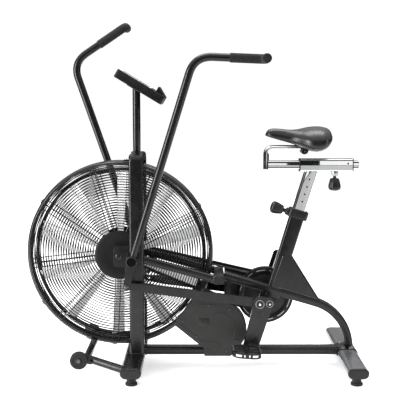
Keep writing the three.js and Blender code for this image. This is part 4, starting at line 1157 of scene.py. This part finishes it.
# ---- fan axle hardware
axle_nuts = both(lathe(turned(92, 94, 11, 0.6, 6.2), FAN, steps=32),
                 prism(shifted(circle(7.5, 6), FAN.x, FAN.z), 94, 101))
piece("axle_nuts", axle_nuts, "steel", bevel=(0.8, 2), material=DARK_STEEL)


# ---- stage
def sheet_object(name, corners, finish, glow):
    """A flat sheet in metres with a glowing finish."""
    finish.inputs["Emission Color"].default_value = (1, 1, 1, 1)
    finish.inputs["Emission Strength"].default_value = glow
    mesh = bpy.data.meshes.new(name)
    mesh.from_pydata(corners, [], [[0, 1, 2, 3]])
    mesh.materials.append(finish.material)
    obj = bpy.data.objects.new(name, mesh)
    bpy.context.scene.collection.objects.link(obj)
    return obj


paper = Finish("floor_paper", (0.93, 0.93, 0.93), 0.7)
paper.vary_roughness(paper.noise(3, 3), 0.04)
paper.bump(paper.noise(300, 3), 0.05, 0.1)
floor = sheet_object("floor", [(-4.5, -2.2, 0), (4.5, -2.2, 0), (4.5, 6.0, 0), (-4.5, 6.0, 0)], paper, 0.35)

# The camera sees a white backdrop; the pieces are lit by a sky that darkens towards the horizon.
world = bpy.data.worlds.new("studio")
bpy.context.scene.world = world
world.use_nodes = True
sky = world.node_tree
backdrop = sky.nodes["Background"]
backdrop.inputs["Color"].default_value = (1, 1, 1, 1)
backdrop.inputs["Strength"].default_value = 1.05
direction = add_node(sky, "TexCoord", {}, {}).outputs["Generated"]
height = add_node(sky, "SeparateXYZ", {}, {"Vector": direction}).outputs["Z"]
ramp = add_node(sky, "ValToRGB", {}, {"Fac": height})
ramp.color_ramp.interpolation = "EASE"
stops = ramp.color_ramp.elements
stops.remove(stops[0])
stops[0].position = 0.0
stops[0].color = (0.03, 0.03, 0.03, 1)
for position, level in ((0.12, 0.03), (0.36, 0.34), (0.62, 1.0)):
    stops.new(position).color = (level, level, level, 1)
studio = add_node(sky, "Background", {"Strength": 1.5}, {"Color": ramp.outputs["Color"]})
seen = add_node(sky, "LightPath", {}, {}).outputs["Is Camera Ray"]
choice = add_node(sky, "MixShader", {}, {"Fac": seen, 1: studio.outputs["Background"],
                                         2: backdrop.outputs["Background"]})
sky.links.new(choice.outputs["Shader"], sky.nodes["World Output"].inputs["Surface"])

# The chrome reflects the soft surroundings and the cards, and none of the bright lamps.
unlit = bpy.data.collections.new("chrome_pieces")
for obj in bpy.context.scene.objects:
    if obj.type == "MESH" and obj.data.materials and obj.data.materials[0] == FINISH["chrome"]:
        unlit.objects.link(obj)
for entry in unlit.collection_objects:
    entry.light_linking.link_state = "EXCLUDE"


def area_light(name, place, target, size, power):
    data = bpy.data.lights.new(name, "AREA")
    data.shape = "RECTANGLE"
    data.size, data.size_y = size
    data.energy = power
    obj = bpy.data.objects.new(name, data)
    obj.location = place
    obj.rotation_euler = (Vector(target) - Vector(place)).to_track_quat("-Z", "Y").to_euler()
    obj.visible_camera = False
    obj.light_linking.receiver_collection = unlit
    bpy.context.scene.collection.objects.link(obj)


area_light("left_strip", (-3.2, -1.6, 1.2), (0, 0, 0.6), (1.5, 2.4), 180)
area_light("right_strip", (3.0, -1.2, 1.2), (0, 0, 0.6), (0.4, 2.2), 18)
area_light("overhead", (0.0, 0.4, 3.4), (0, 0, 0.4), (2.6, 1.0), 90)


CARD_Y = -3.45


def card(name, x0, x1, z0, z1, glow):
    """A card behind the camera that only shows in reflections, glowing or black."""
    finish = Finish(name, (0.01, 0.01, 0.01), 0.9, Specular_IOR_Level=0.0)
    finish.vary_roughness(finish.noise(2, 2), 0.05)
    corners = [(x0, CARD_Y, z0), (x1, CARD_Y, z0), (x1, CARD_Y, z1), (x0, CARD_Y, z1)]
    sheet = sheet_object(name, corners, finish, glow)
    sheet.visible_camera = False
    sheet.visible_shadow = False


card("card_left", 0.36, 0.70, 0.52, 0.95, 1.0)
card("card_dark", 0.70, 0.955, 0.52, 0.95, 0.0)
card("card_right", 0.955, 1.5, 0.535, 0.95, 1.05)
card("card_low_left", 0.36, 0.96, 0.02, 0.50, 0.55)
card("card_low_right", 0.96, 1.5, 0.02, 0.50, 0.62)

camera_data = bpy.data.cameras.new("camera")
camera_data.lens = 79.2
camera_data.sensor_width = 36
camera = bpy.data.objects.new("camera", camera_data)
camera.location = (0.027, -3.400, 1.050)
camera.rotation_euler = (radians(90 - 6.6), 0, 0)
bpy.context.scene.collection.objects.link(camera)
bpy.context.scene.camera = camera
bpy.context.scene.view_settings.view_transform = "Standard"
